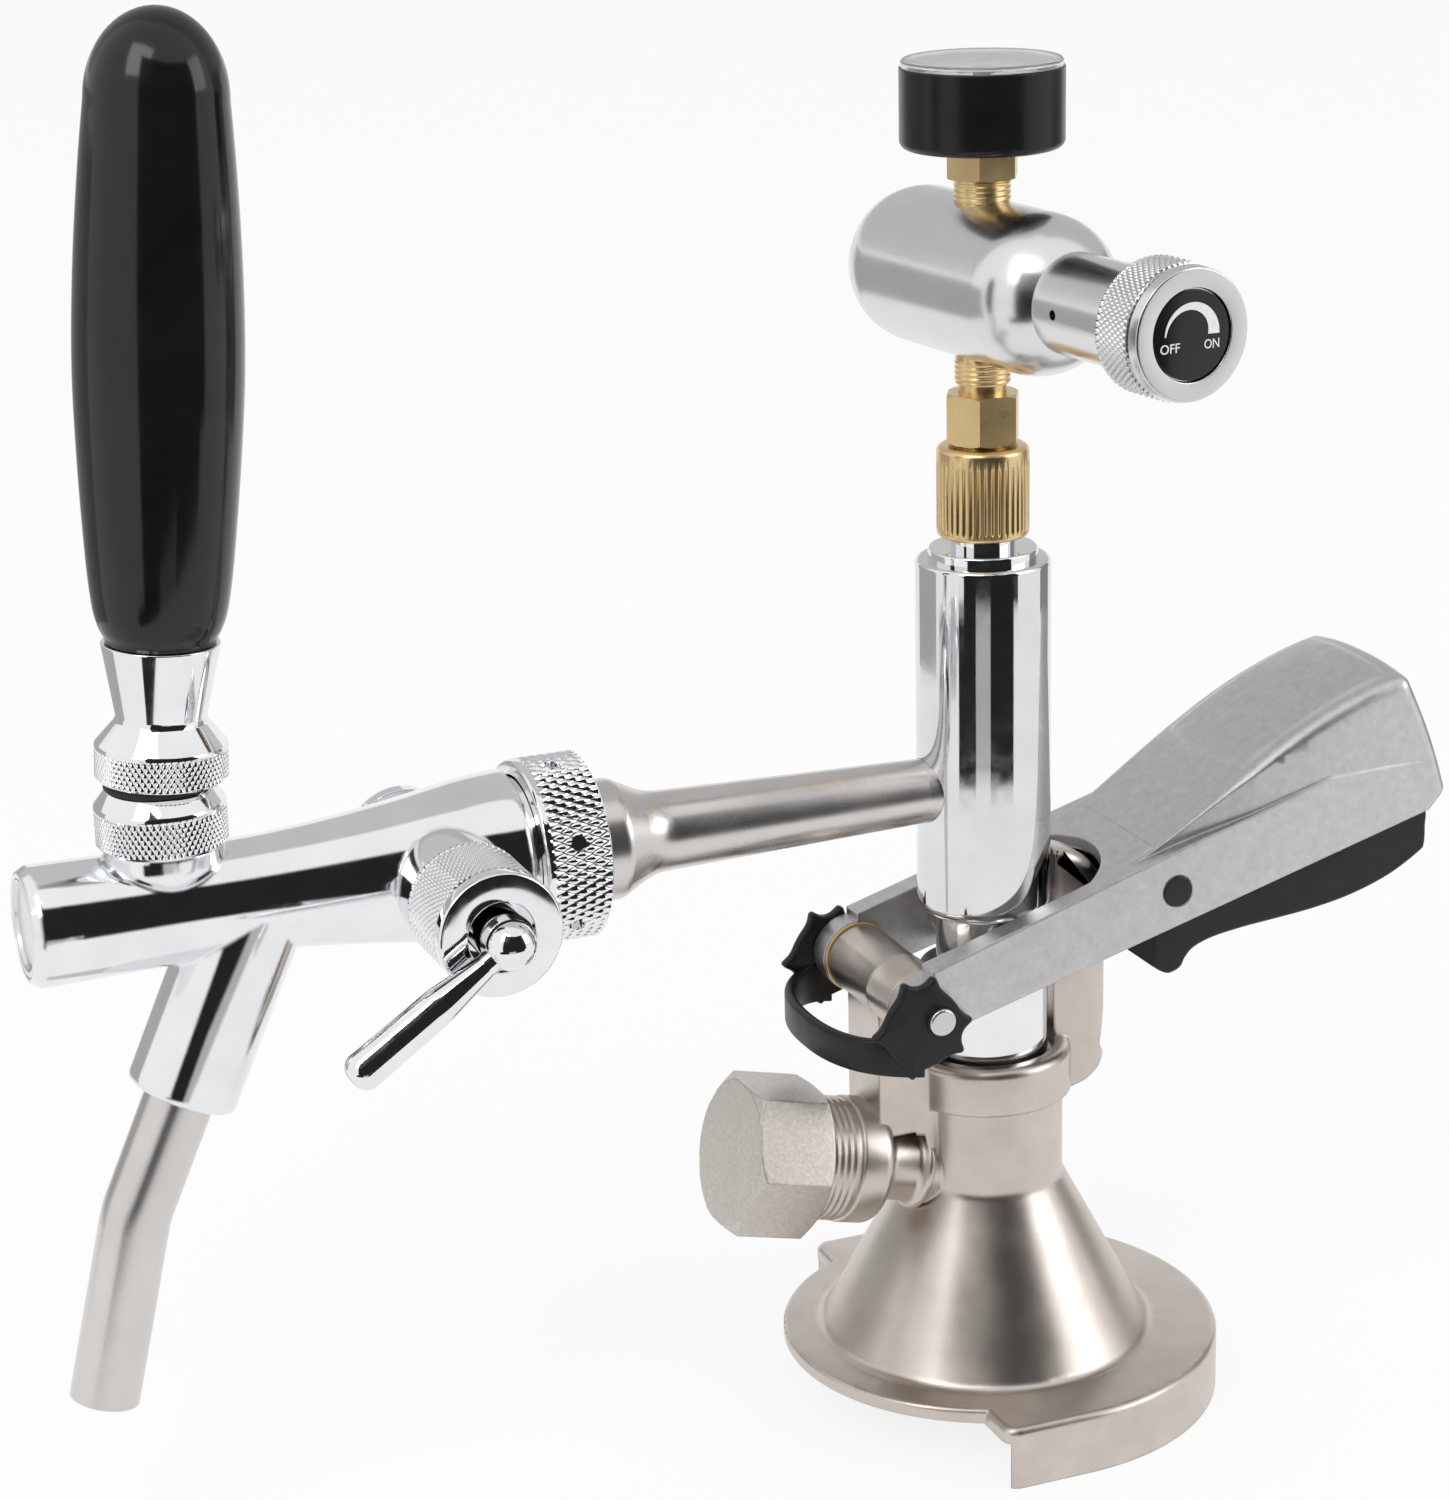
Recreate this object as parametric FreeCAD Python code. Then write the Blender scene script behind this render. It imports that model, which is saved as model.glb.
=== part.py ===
"""Keg party pump: a slide-on keg coupler that carries a flow-control faucet and a gas regulator.

Millimetres. The origin is on the probe's axis, in the plane where the coupler seats on the keg.
+Z is up. -X points to the faucet and to the open side of the keg channel, +X to the lever's grip.
-Y is the side with the flow lever and the regulator's knob.
"""
import FreeCAD, Part
import math
import os

V = FreeCAD.Vector
UP = V(0, 0, 1)

# Clearances, measured on the radius or across the gap
fit_gap = 0.05
slide_gap = 0.1
free_gap = 0.3

# Tools that cut right through reach this far
beyond = 200.0

# Keg channel and bell of the coupler body
rail_depth = 9.0
rail_lip = 3.5
rail_outer_r = 44.9
rail_wall = 4.0
rail_mouth_r = 33.0
rail_reach = 17.0
rail_nose_r = 3.0
plate_t = 3.0
plate_edge_r = 1.4
flange_r = 39.2
socket_r = 28.0
socket_depth = 5.0
bell_foot_r = 31.8
bell_wall = 4.6
neck_r = 14.95
neck_low_z = 34.9
band_r = 16.56
band_low_z = 51.8
band_high_z = 61.0
band_mouth_r = 13.4
keg_seal_hole_r = 17.0
keg_seal_t = 2.3
seal_pocket_lap = 1.0

# Gas inlet, measured along its own axis from the probe's axis
inlet_tilt = 13.4
inlet_neck_r = 8.0
inlet_r = 11.85
inlet_shoulder_s = 23.1
inlet_thread_s = 31.9
inlet_thread_r = 11.45
inlet_face_s = 49.4
inlet_bore_r = 8.0
inlet_seat_s = 26.0
inlet_passage_r = 4.8
inlet_washer_t = 1.4
inlet_cap_flats = 27.0
inlet_cap_start_s = 38.8
inlet_cap_length = 15.3

# Hinge, its post and the guide post
pivot_x = -19.6
pivot_z = 76.2
pin_r = 2.6
barrel_r = 5.4
hinge_post_outer_x = -25.0
hinge_post_half = 7.0
hinge_post_inner = 4.3
hinge_root_z = 37.0
hinge_brace_z = 42.0
guide_outer_x = 24.9
guide_half = 4.8
guide_top_z = 98.0
guide_foot_z = 51.0
guide_brace_x = 19.0
guide_clear_r = 13.3

# Toothed clip on the hinge pin
clip_shift_x = -3.1
clip_shift_z = -1.4
clip_tip_r = 9.9
clip_root_r = 7.7
clip_tooth_angles = (112, 76, 2, -35, -104, -177)
clip_t = 2.2
pin_proud = 1.7
strap_front_x = -34.9
strap_t = 2.0
strap_low_z = 66.3
strap_high_z = 72.8
strap_corner_r = 11.0

# Lever: two arms and a hollow head
arm_inner_y = 14.5
arm_outer_y = 19.5
head_half = 17.3
head_wall = 2.4
arm_eye_r = 7.0
head_tip_x = 89.9
head_tip_z = 103.8
head_crest_x = 81.2
head_crest_z = 127.3
head_heel_x = 86.2
head_heel_z = 99.6
arm_low_x = -25.4
arm_low_z = 70.2
arm_top_x = 20.2
arm_top_z = 96.6
arch_r = 14.0
arch_x = 12.5
head_neck_x = 22.5
head_line = ((34.0, 103.4), (47.7, 113.5), (61.5, 121.4), (71.0, 125.1))
head_edge_r = 2.2
shoulder_line = ((18.0, 15.3), (30.0, 15.4), (48.0, 16.9))
shoulder_x = 64.0
bush_flange_t = 1.2
bush_flange_r = 7.2
bush_wall = 1.4
roller_r = 4.9
roller_axle_r = 2.5
roller_z = 82.5
trigger_pin_x = 31.2
trigger_pin_z = 92.0
trigger_pin_r = 3.0
trigger_half = 14.1
trigger_line = ((22.3, 80.5), (30.0, 73.9, 1.6), (35.2, 74.8, 1.2), (38.6, 78.8, 3.0), (52.0, 80.6, 20.0),
                (69.0, 83.2, 20.0), (82.0, 86.3, 8.0), (87.8, 91.2, 2.0), (87.8, 98.9), (84.0, 103.0),
                (60.0, 101.0),
                (40.0, 98.0), (34.0, 98.2), (27.0, 95.6), (22.8, 91.0))
trigger_slot_half = 5.3
trigger_slot_reach = 50.2
trigger_pocket_half = 4.3
spring_wire_r = 0.45
spring_turns = 3

# Probe and column
probe_tip_z = 4.0
probe_tip_r = 7.0
probe_tube_r = 9.2
probe_bore_r = 6.2
piston_low_z = 50.0
piston_r = 12.1
spool_low_z = 77.0
spool_r = 9.0
column_low_z = 88.0
column_r = 12.5
column_bore_r = 10.05
column_high_z = 156.0
socket_top_z = 100.0
ring_z = (52.4, 55.8)
ring_wire_r = 0.95
tip_seal_t = 5.6
tip_seal_r = 9.6
gas_tube_r = 3.0
gas_tube_bore_r = 2.0
gas_port_z = 30.0
gas_bend_r = 5.0
head_flange_r = 10.15
head_flange_t = 2.0
head_neck_r = 6.0
head_neck_t = 2.2
head_plug_depth = 8.0
head_thread_r = 6.6
head_thread_t = 8.3

# Shank and faucet, measured along -X from the probe's axis
faucet_z = 112.7
shank_root_r = 6.0
shank_end_r = 7.4
shank_bore_r = 4.2
shank_taper_u = 67.0
shank_flare_r = 11.0
shank_flare_length = 7.0
shank_flange_r = 13.8
shank_flange_t = 2.4
shank_gasket_t = 1.4
collar_r = 16.8
collar_length = 12.4
collar_from_flare = 5.4
collar_lip = 2.3
collar_lip_gap = 0.5
collar_hole_r = 1.4
barrel_gap = 1.6
barrel_past_tap = 25.0
barrel_rim_r = 15.3
barrel_line = ((1.2, 15.35), (4.6, 15.1), (16.6, 13.35), (32.6, 11.2), (49.6, 10.05), (64.6, 10.2),
               (83.6, 10.6))
front_cap_r = 8.6
front_cap_t = 7.0
front_cap_recess = 0.7
rear_bore_r = 9.4
rear_bore_end_r = 6.2
rear_bore_past_flow = 4.5
seat_from_flow = 16.0
seat_t = 3.0
seat_hole_r = 4.4
chamber_r = 6.0
chamber_past_branch = 8.5
guide_bore_r = 4.3

# Spout
branch_from_seat = 15.5
branch_r = 9.9
branch_run_x = -15.8
branch_run_z = -34.7
branch_socket = 14.0
spout_r = 6.2
spout_bore_r = 5.4
spout_first_x = -9.4
spout_first_z = -20.9
spout_last_x = -8.1
spout_last_z = -34.0
spout_bend_r = 24.0

# Bonnet and tap handle
tap_from_branch = 15.7
tap_pivot_rise = 1.6
tap_lean = 3.6
bonnet_boss_rise = 11.7
bonnet_boss_r = 10.2
bonnet_boss_low_r = 8.2
bonnet_r = 11.3
bonnet_knurl_t = 6.9
bonnet_shoulder_t = 3.5
bonnet_top_r = 8.9
bonnet_spigot_r = 7.6
bonnet_spigot_t = 3.2
bonnet_ring_t = 1.2
tap_ball_r = 5.2
tap_rod_r = 3.0
tap_stub_r = 1.5
tap_stub_half = 6.9
tap_tail_r = 1.8
tap_tail_ball_r = 2.4
ferrule_low_t = 10.0
ferrule_skirt_t = 16.0
ferrule_r = 11.35
ferrule_waist_t = 20.6
ferrule_waist_r = 7.65
ferrule_top_t = 33.8
ferrule_top_r = 10.15
ferrule_hollow_r = 9.95
ferrule_hollow_t = 14.4
insert_r = 4.5
insert_top_t = 50.0
grip_stations = ((36.0, 10.05), (40.0, 11.4), (48.0, 12.35), (64.0, 13.5), (80.0, 14.15), (96.0, 13.85),
                 (112.0, 12.9))
grip_dome_t = 124.0
grip_dome_r = 11.75
grip_top_t = 138.8
grip_foot_r = 9.3

# Valve inside the faucet
valve_stem_r = 2.8
valve_guide_r = 4.0
valve_guide_half = 8.0
valve_tip_r = 1.5
valve_eye_gap = 1.2
valve_tail_from_tap = 14.8
valve_seal_r = 5.6
valve_seal_t = 4.0
valve_eye_r = 2.8

# Flow control
flow_from_rim = 14.6
flow_boss_r = 9.8
flow_boss_y = 19.3
gland_screw_r = 5.3
gland_screw_y = 15.0
gland_r = 10.9
gland_knurl_y = 35.8
gland_face_y = 39.0
gland_face_r = 11.0
gland_cup_r = 5.9
gland_cup_y = 34.2
spindle_r = 3.5
spindle_low_y = 8.5
spindle_high_y = 34.8
spindle_way_r = 4.2
gland_ring_y = 12.4
gland_ring_t = 2.5
eccentric = 2.5
eccentric_r = 1.5
eccentric_end_y = 1.5
flow_neck_r = 4.8
flow_dome_y = 43.4
flow_arm_angle = 34.0
flow_arm_length = 34.6
flow_arm_root_r = 2.1
flow_arm_r = 3.5
plug_boss_r = 8.2
plug_r = 9.5
plug_t = 4.3
plug_depth = 5.5
plug_bore_r = 4.3
cone_from_flow = 14.0
cone_past_flow = 2.8
cone_back_r = 8.2
cone_front_r = 5.0

# Union nut and tail
nut_r = 8.45
nut_length = 16.7
nut_roof_t = 4.1
tail_flange_r = 6.4
tail_flange_t = 2.5
tail_r = 5.0
tail_hex_flats = 12.5
tail_hex_gap = 0.5
tail_hex_length = 9.1
tail_neck_r = 4.4
tail_neck_t = 1.8
tail_thread_r = 4.9
tail_thread_length = 8.6
gas_way_r = 1.6
head_washer_t = 1.4

# Regulator, measured along its own axis from the probe's axis, towards the knob
tail_depth = 10.1
regulator_turn = 7.0
capsule_r = 14.35
capsule_far_s = -18.4
capsule_near_s = 18.0
capsule_neck_r = 9.0
capsule_neck_s = 58.6
port_r = 4.24
port_depth = 8.0
port_relief_r = 4.6
port_relief_t = 4.0
port_face_s = 31.4
piercer_r = 4.0
piercer_t = 5.0
piercer_setback = 1.5
chamber_low_s = 4.0
spring_chamber_r = 7.2
piston_t = 4.0
piston_low_s = 6.0
spring_coil_r = 5.4
spring_coil_wire_r = 0.9
spring_coil_turns = 4
spring_seat_s = 31.0
spring_seat_t = 2.0
knob_r = 11.8
knob_low_s = 51.6
knob_knurl_s = 60.6
knob_face_s = 63.2
knob_face_r = 11.0
knob_wall_s = 59.2
knob_screw_r = 4.0
knob_dial_r = 7.1
knob_dial_t = 0.9
vent_r = 0.9
vent_s = 35.5

# Pressure gauge
gauge_stem_rise = 8.9
gauge_thread_length = 9.2
gauge_hex_length = 5.3
gauge_hex_flats = 12.0
gauge_r = 14.7
gauge_wall = 1.0
gauge_case_length = 14.4
gauge_lens_r = 14.4
gauge_lens_rise = 1.3
gauge_lens_t = 0.8
gauge_dial_drop = 2.7
gauge_dial_t = 0.6
gauge_tube_r = 1.3
gauge_tube_bend_r = 8.5
needle_length = 10.4
needle_start = 225.0

# Worked out from the sizes above
pivot = V(pivot_x, 0, pivot_z)
groove_r = rail_outer_r - rail_wall
seal_pocket_r = socket_r + seal_pocket_lap
seal_pocket_z = socket_depth - keg_seal_t - slide_gap
body_bore_r = piston_r + slide_gap
bell_slope = (bell_foot_r - neck_r) / (neck_low_z - plate_t)
cavity_foot_r = bell_foot_r - bell_slope * (socket_depth - plate_t) - bell_wall
cavity_top_z = socket_depth + (cavity_foot_r - body_bore_r) / bell_slope
inlet_axis = V(-math.cos(math.radians(inlet_tilt)), 0, math.sin(math.radians(inlet_tilt)))
inlet_origin = V(0, 0, neck_low_z)
clip_low_y = arm_outer_y + free_gap
pin_end_y = clip_low_y + clip_t + pin_proud
barrel_half = arm_inner_y - free_gap - bush_flange_t
arm_slope = (head_heel_z - arm_low_z) / (head_heel_x - arm_low_x)
arm_top_slope = 0.30
collar_bore_r = shank_flange_r + free_gap
shank_flare_u = shank_taper_u + shank_flare_length
collar_low_u = shank_flare_u + collar_from_flare
collar_high_u = collar_low_u + collar_length
shank_flange_u = collar_low_u + collar_lip + collar_lip_gap
shank_face_u = shank_flange_u + shank_flange_t
barrel_low_u = collar_high_u + barrel_gap
barrel_stations = tuple((barrel_low_u + run, radius) for run, radius in barrel_line)
flow_u = barrel_low_u + flow_from_rim
plug_boss_y = barrel_rim_r + fit_gap
plug_end_y = plug_boss_y + plug_t
cone_back_u = flow_u - cone_from_flow
cone_front_u = flow_u + cone_past_flow
rear_bore_u = flow_u + rear_bore_past_flow
seat_u = flow_u + seat_from_flow
branch_u = seat_u + branch_from_seat
chamber_end_u = branch_u + chamber_past_branch
tap_u = branch_u + tap_from_branch
valve_tail_u = tap_u + valve_tail_from_tap
barrel_end_u = tap_u + barrel_past_tap
bonnet_boss_z = faucet_z + bonnet_boss_rise
bonnet_spigot_z = bonnet_boss_z - bonnet_spigot_t
bonnet_knurl_z = bonnet_boss_z + bonnet_knurl_t
bonnet_top_z = bonnet_knurl_z + bonnet_shoulder_t
tap_pivot_z = bonnet_boss_z + tap_pivot_rise
faucet_rear_u = shank_face_u + shank_gasket_t
faucet_origin = V(0, 0, faucet_z)
faucet_axis = V(-1, 0, 0)
tap_axis = V(math.sin(math.radians(tap_lean)), 0, math.cos(math.radians(tap_lean)))
tap_pivot = V(-tap_u, 0, tap_pivot_z)
tail_reach = tap_pivot_z - faucet_z
tail_u = tap_u + tail_reach * math.tan(math.radians(tap_lean))
branch_start = V(-branch_u, 0, faucet_z)
branch_end = branch_start + V(branch_run_x, 0, branch_run_z)
branch_axis = (branch_end - branch_start).normalize()
nut_low_z = column_high_z + head_flange_t + head_neck_t + slide_gap
nut_high_z = nut_low_z + nut_length
nut_shoulder_z = nut_high_z - nut_roof_t
tail_hex_low_z = nut_high_z + tail_hex_gap
tail_hex_high_z = tail_hex_low_z + tail_hex_length
tail_thread_low_z = tail_hex_high_z + tail_neck_t
tail_top_z = tail_thread_low_z + tail_thread_length
regulator_z = tail_top_z + tail_depth
gauge_thread_low_z = regulator_z + gauge_stem_rise
gauge_hex_low_z = gauge_thread_low_z + gauge_thread_length
gauge_hex_high_z = gauge_hex_low_z + gauge_hex_length
gauge_case_high_z = gauge_hex_high_z + gauge_case_length
gauge_top_z = gauge_case_high_z + gauge_lens_rise
gauge_dial_z = gauge_case_high_z - gauge_dial_drop
regulator_origin = V(0, 0, regulator_z)
regulator_axis = V(math.sin(math.radians(regulator_turn)), -math.cos(math.radians(regulator_turn)), 0)
flow_origin = V(-flow_u, 0, faucet_z)
flow_axis = V(0, -1, 0)
head_top_z = column_high_z + head_flange_t + head_neck_t + head_thread_t
washer_top_z = head_top_z + head_washer_t


def outline(points, place):
    """Closed wire through the points; a third number on a point rounds that corner."""
    count = len(points)
    entries = []
    exits = []
    middles = []
    for i, point in enumerate(points):
        here = V(point[0], point[1], 0)
        if len(point) < 3:
            entries.append(here)
            exits.append(here)
            middles.append(None)
            continue
        before = points[i - 1]
        after = points[(i + 1) % count]
        back = (V(before[0], before[1], 0) - here).normalize()
        ahead = (V(after[0], after[1], 0) - here).normalize()
        half = back.getAngle(ahead) / 2
        reach = point[2] / math.tan(half)
        depth = point[2] / math.sin(half) - point[2]
        entries.append(here + back * reach)
        exits.append(here + ahead * reach)
        middles.append(here + (back + ahead).normalize() * depth)
    edges = []
    for i in range(count):
        if middles[i] is not None:
            edges.append(Part.Arc(place(entries[i]), place(middles[i]), place(exits[i])).toShape())
        start = place(exits[i])
        end = place(entries[(i + 1) % count])
        if start.distanceToPoint(end) > 1e-6:
            edges.append(Part.LineSegment(start, end).toShape())
    return Part.Wire(edges)


def placed(shape, origin, direction):
    """Stand a shape that was made along +Z on the origin, along the direction."""
    shape.Placement = FreeCAD.Placement(origin, FreeCAD.Rotation(UP, direction))
    return shape


def turned(points, origin=V(0, 0, 0), direction=UP):
    """Solid of revolution from (radius, height) points."""
    wire = outline(points, lambda p: V(p.x, 0, p.y))
    return spun(wire, origin, direction)


def spun(wire, origin=V(0, 0, 0), direction=UP):
    """Turn a closed wire in the XZ plane right round, and place it."""
    solid = Part.Face(wire).revolve(V(0, 0, 0), UP, 360)
    if solid.Volume < 0:
        solid.reverse()
    return placed(solid, origin, direction)


def spun_curve(stations, rest, origin, direction):
    """Solid of revolution whose side is one smooth curve, closed by the straight rest."""
    curve = Part.BSplineCurve()
    curve.interpolate([V(radius, 0, height) for height, radius in stations])
    corners = [V(stations[-1][1], 0, stations[-1][0])]
    corners += [V(radius, 0, height) for radius, height in rest]
    corners.append(V(stations[0][1], 0, stations[0][0]))
    edges = [curve.toShape()]
    for start, end in zip(corners, corners[1:]):
        edges.append(Part.LineSegment(start, end).toShape())
    return spun(Part.Wire(edges), origin, direction)


def plate(points, low_y, high_y):
    """Side outline of (x, z) points, drawn out along Y."""
    face = Part.Face(outline(points, lambda p: V(p.x, low_y, p.y)))
    return face.extrude(V(0, high_y - low_y, 0))


def plan(points, low_z, high_z):
    """Plan outline of (x, y) points, drawn up along Z."""
    face = Part.Face(outline(points, lambda p: V(p.x, p.y, low_z)))
    return face.extrude(V(0, 0, high_z - low_z))


def rod(radius, start, end):
    """Round bar from one point to another."""
    return Part.makeCylinder(radius, start.distanceToPoint(end), start, end - start)


def box(low, high):
    """Box between two corners given as (x, y, z)."""
    return Part.makeBox(high[0] - low[0], high[1] - low[1], high[2] - low[2], V(*low))


def hexagon(flats, height, origin, direction, bevel, turn=0):
    """Hexagonal bar with its corners turned off at both ends."""
    corner = flats / math.sqrt(3)
    angles = [math.radians(60 * i + turn) for i in range(6)]
    bar = plan([(corner * math.cos(angle), corner * math.sin(angle)) for angle in angles], 0, height)
    round_bar = turned([(0, 0), (corner - bevel, 0), (corner, bevel * 0.6),
                        (corner, height - bevel * 0.6), (corner - bevel, height), (0, height)])
    return placed(bar.common(round_bar), origin, direction)


def ring(radius, wire_r, z):
    """O-ring round the Z axis."""
    return Part.makeTorus(radius, wire_r, V(0, 0, z), UP)


def at(origin, axis, distance):
    """Point at a distance along an axis."""
    return origin + axis * distance


def mirror_y(shape):
    """The same shape on the other side of the XZ plane."""
    return shape.mirror(V(0, 0, 0), V(0, 1, 0))


def coil(radius, wire_r, turns, length):
    """Round-wire coil along +Z, its wire's centre line from 0 to the length."""
    helix = Part.makeHelix(length / turns, length, radius)
    section = Part.Wire(Part.makeCircle(wire_r, V(radius, 0, 0), V(0, 1, length / turns / 6.2832 / radius)))
    return Part.Wire(helix.Edges).makePipeShell([section], True, True)


def horseshoe(radius, low_z, high_z, reach):
    """Half disc whose two sides run straight on past the axis, towards -X."""
    corners = [V(0, radius, low_z), V(-reach, radius, low_z), V(-reach, -radius, low_z), V(0, -radius, low_z)]
    edges = [Part.LineSegment(start, end).toShape() for start, end in zip(corners, corners[1:])]
    edges.append(Part.Arc(corners[-1], V(radius, 0, low_z), corners[0]).toShape())
    return Part.Face(Part.Wire(edges)).extrude(V(0, 0, high_z - low_z))


def coupler_body():
    rim = horseshoe(rail_outer_r, -rail_depth, plate_t, rail_reach)
    noses = [edge for edge in rim.Edges
             if edge.BoundBox.ZLength > plate_t and edge.BoundBox.XMax < 1 - rail_reach]
    rim = rim.makeFillet(rail_nose_r, noses)
    tops = [edge for edge in rim.Edges if edge.BoundBox.ZMin > plate_t - 0.01]
    round_tops = [edge for edge in tops if edge.BoundBox.XMax > 1 or edge.BoundBox.YLength < 2 * rail_mouth_r]
    rim = rim.makeFillet(plate_edge_r, round_tops)
    bell = turned([(0, 0), (flange_r, 0, 0.8), (flange_r, plate_t, 0.8), (bell_foot_r, plate_t, 2.5),
                   (neck_r, neck_low_z, 4), (neck_r, band_low_z), (band_r, band_low_z, 0.4),
                   (band_r, band_high_z, 1.8), (0, band_high_z)])
    inlet = turned([(0, 4), (inlet_neck_r, 4), (inlet_neck_r, inlet_shoulder_s - 2, 1.6),
                    (inlet_r, inlet_shoulder_s, 2.2), (inlet_r, inlet_thread_s, 0.4),
                    (inlet_thread_r, inlet_thread_s), (inlet_thread_r, inlet_face_s, 0.6), (0, inlet_face_s)],
                   inlet_origin, inlet_axis)
    root_x = -neck_r + 3
    inner_x = pivot_x + hinge_post_inner
    hinge_post = plate([(root_x, hinge_root_z), (root_x, band_high_z - 1), (inner_x, band_high_z + 1.5),
                        (inner_x, pivot_z), (hinge_post_outer_x, pivot_z), (hinge_post_outer_x, hinge_brace_z)],
                       -hinge_post_half, hinge_post_half)
    barrel = rod(barrel_r, pivot - V(0, barrel_half, 0), pivot + V(0, barrel_half, 0))
    guide = plate([(neck_r - 3, guide_foot_z - 2), (guide_brace_x, guide_foot_z),
                   (guide_outer_x - 2.6, guide_foot_z + 2.2),
                   (guide_outer_x - 0.8, guide_foot_z + 4.2, 0.8),
                   (guide_outer_x - 2.3, guide_foot_z + 6.6, 0.6),
                   (guide_outer_x, guide_foot_z + 17), (guide_outer_x, guide_top_z - 6.5, 4),
                   (guide_outer_x - 6.2, guide_top_z, 4), (neck_r - 3, guide_top_z)], -guide_half, guide_half)
    guide_x = guide_outer_x - guide_half
    rounded = rod(guide_half, V(guide_x, 0, guide_foot_z - 5), V(guide_x, 0, guide_top_z + 1))
    inner_half = box((0, -guide_half, guide_foot_z - 5), (guide_x, guide_half, guide_top_z + 1))
    crown_z = guide_top_z - guide_half
    crown = rod(guide_half, V(0, 0, crown_z), V(beyond, 0, crown_z))
    crown = crown.fuse(box((0, -guide_half, 0), (beyond, guide_half, crown_z)))
    guide = guide.common(rounded.fuse(inner_half)).common(crown)
    guide = guide.cut(rod(guide_clear_r, V(0, 0, band_high_z - 0.5), V(0, 0, guide_top_z + 1)))
    body = rim.fuse([bell, inlet, hinge_post, barrel, guide])
    far = rail_outer_r * 2
    lead_in = plan([(-rail_reach, -rail_outer_r), (-rail_reach, rail_outer_r),
                    (rail_outer_r - rail_reach, 0)],
                   -rail_depth - 1, 0)
    lead_in = lead_in.common(box((-far, -far, -far), (rail_nose_r, far, 0)))
    body = body.cut([horseshoe(groove_r, rail_lip - rail_depth, 0, far), lead_in,
                     horseshoe(rail_mouth_r, -rail_depth - 1, rail_lip - rail_depth + 0.5, far)])
    cavity = turned([(0, -1), (socket_r, -1), (socket_r, seal_pocket_z), (seal_pocket_r, seal_pocket_z),
                     (seal_pocket_r, socket_depth), (cavity_foot_r, socket_depth),
                     (body_bore_r, cavity_top_z), (body_bore_r, band_high_z - 3.6),
                     (band_mouth_r, band_high_z - 2.6), (band_mouth_r, band_high_z + 1),
                     (0, band_high_z + 1)])
    inlet_bore = rod(inlet_bore_r, at(inlet_origin, inlet_axis, inlet_seat_s),
                     at(inlet_origin, inlet_axis, inlet_face_s + 1))
    passage = rod(inlet_passage_r, at(inlet_origin, inlet_axis, 8),
                  at(inlet_origin, inlet_axis, inlet_seat_s + 1))
    pin_hole = rod(pin_r + fit_gap, pivot - V(0, beyond, 0), pivot + V(0, beyond, 0))
    return body.cut([cavity, inlet_bore, passage, pin_hole]).removeSplitter()


def keg_seal():
    low = socket_depth - keg_seal_t
    outer = seal_pocket_r - fit_gap
    return turned([(keg_seal_hole_r, low, 0.6), (outer, low, 0.5), (outer, socket_depth),
                   (keg_seal_hole_r, socket_depth)])


def check_valve():
    outer = inlet_bore_r - fit_gap
    tube = inlet_passage_r - fit_gap * 4
    return turned([(0, inlet_seat_s - 7), (1.2, inlet_seat_s - 7), (tube, inlet_seat_s - 3.5),
                   (tube, inlet_seat_s), (outer, inlet_seat_s), (outer, inlet_seat_s + 2.2, 0.6),
                   (3, inlet_seat_s + 2.2), (3, inlet_seat_s - 3), (0, inlet_seat_s - 5.4)],
                  inlet_origin, inlet_axis)


def inlet_washer():
    low = inlet_face_s + free_gap
    return turned([(5.5, low), (inlet_thread_r - 0.6, low), (inlet_thread_r - 0.6, low + inlet_washer_t),
                   (5.5, low + inlet_washer_t)], inlet_origin, inlet_axis)


def inlet_cap():
    start = inlet_cap_start_s
    cap = hexagon(inlet_cap_flats, inlet_cap_length, at(inlet_origin, inlet_axis, start), inlet_axis, 1.9, 30)
    floor = inlet_face_s + free_gap + inlet_washer_t
    bore = rod(inlet_thread_r + free_gap, at(inlet_origin, inlet_axis, start - 1),
               at(inlet_origin, inlet_axis, floor))
    return cap.cut(bore)


def hinge_pin():
    return turned([(0, -pin_end_y), (pin_r, -pin_end_y, 0.5), (pin_r, pin_end_y, 0.5), (0, pin_end_y)],
                  pivot, V(0, 1, 0))


def clip_disc(low_y):
    """Disc with rounded teeth; where two teeth stand apart, the rim between them is straight."""
    centre_x = pivot_x + clip_shift_x
    centre_z = pivot_z + clip_shift_z
    points = []
    for i, angle in enumerate(clip_tooth_angles):
        after = clip_tooth_angles[(i + 1) % len(clip_tooth_angles)]
        gap = (angle - after) % 360
        points.append((angle, clip_tip_r, 0.7))
        if gap < 45:
            points.append((angle - gap / 2, clip_root_r, 0.9))
        else:
            points.append((angle - 19, clip_root_r, 1.2))
            points.append((after + 19, clip_root_r, 1.2))
    around = [(math.radians(angle), radius, corner) for angle, radius, corner in points]
    rim = [(centre_x + radius * math.cos(angle), centre_z + radius * math.sin(angle), corner) for angle,
           radius, corner in around]
    return plate(rim, low_y, low_y + clip_t)


def pin_clip():
    high_y = clip_low_y + clip_t
    front = strap_front_x
    back = pivot_x + clip_shift_x
    inner = high_y - strap_t
    outside = plan([(back, -high_y), (front, -high_y, strap_corner_r), (front, high_y, strap_corner_r),
                    (back, high_y)],
                   strap_low_z, strap_high_z)
    inner_r = strap_corner_r - strap_t
    inside = plan([(back + 1, -inner), (front + strap_t, -inner, inner_r), (front + strap_t, inner, inner_r),
                   (back + 1, inner)],
                  strap_low_z - 1, strap_high_z + 1)
    strap = outside.cut(inside)
    clip = strap.fuse([clip_disc(clip_low_y), clip_disc(-high_y)])
    hole = rod(pin_r + fit_gap, pivot - V(0, beyond, 0), pivot + V(0, beyond, 0))
    return clip.cut(hole).removeSplitter()


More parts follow.
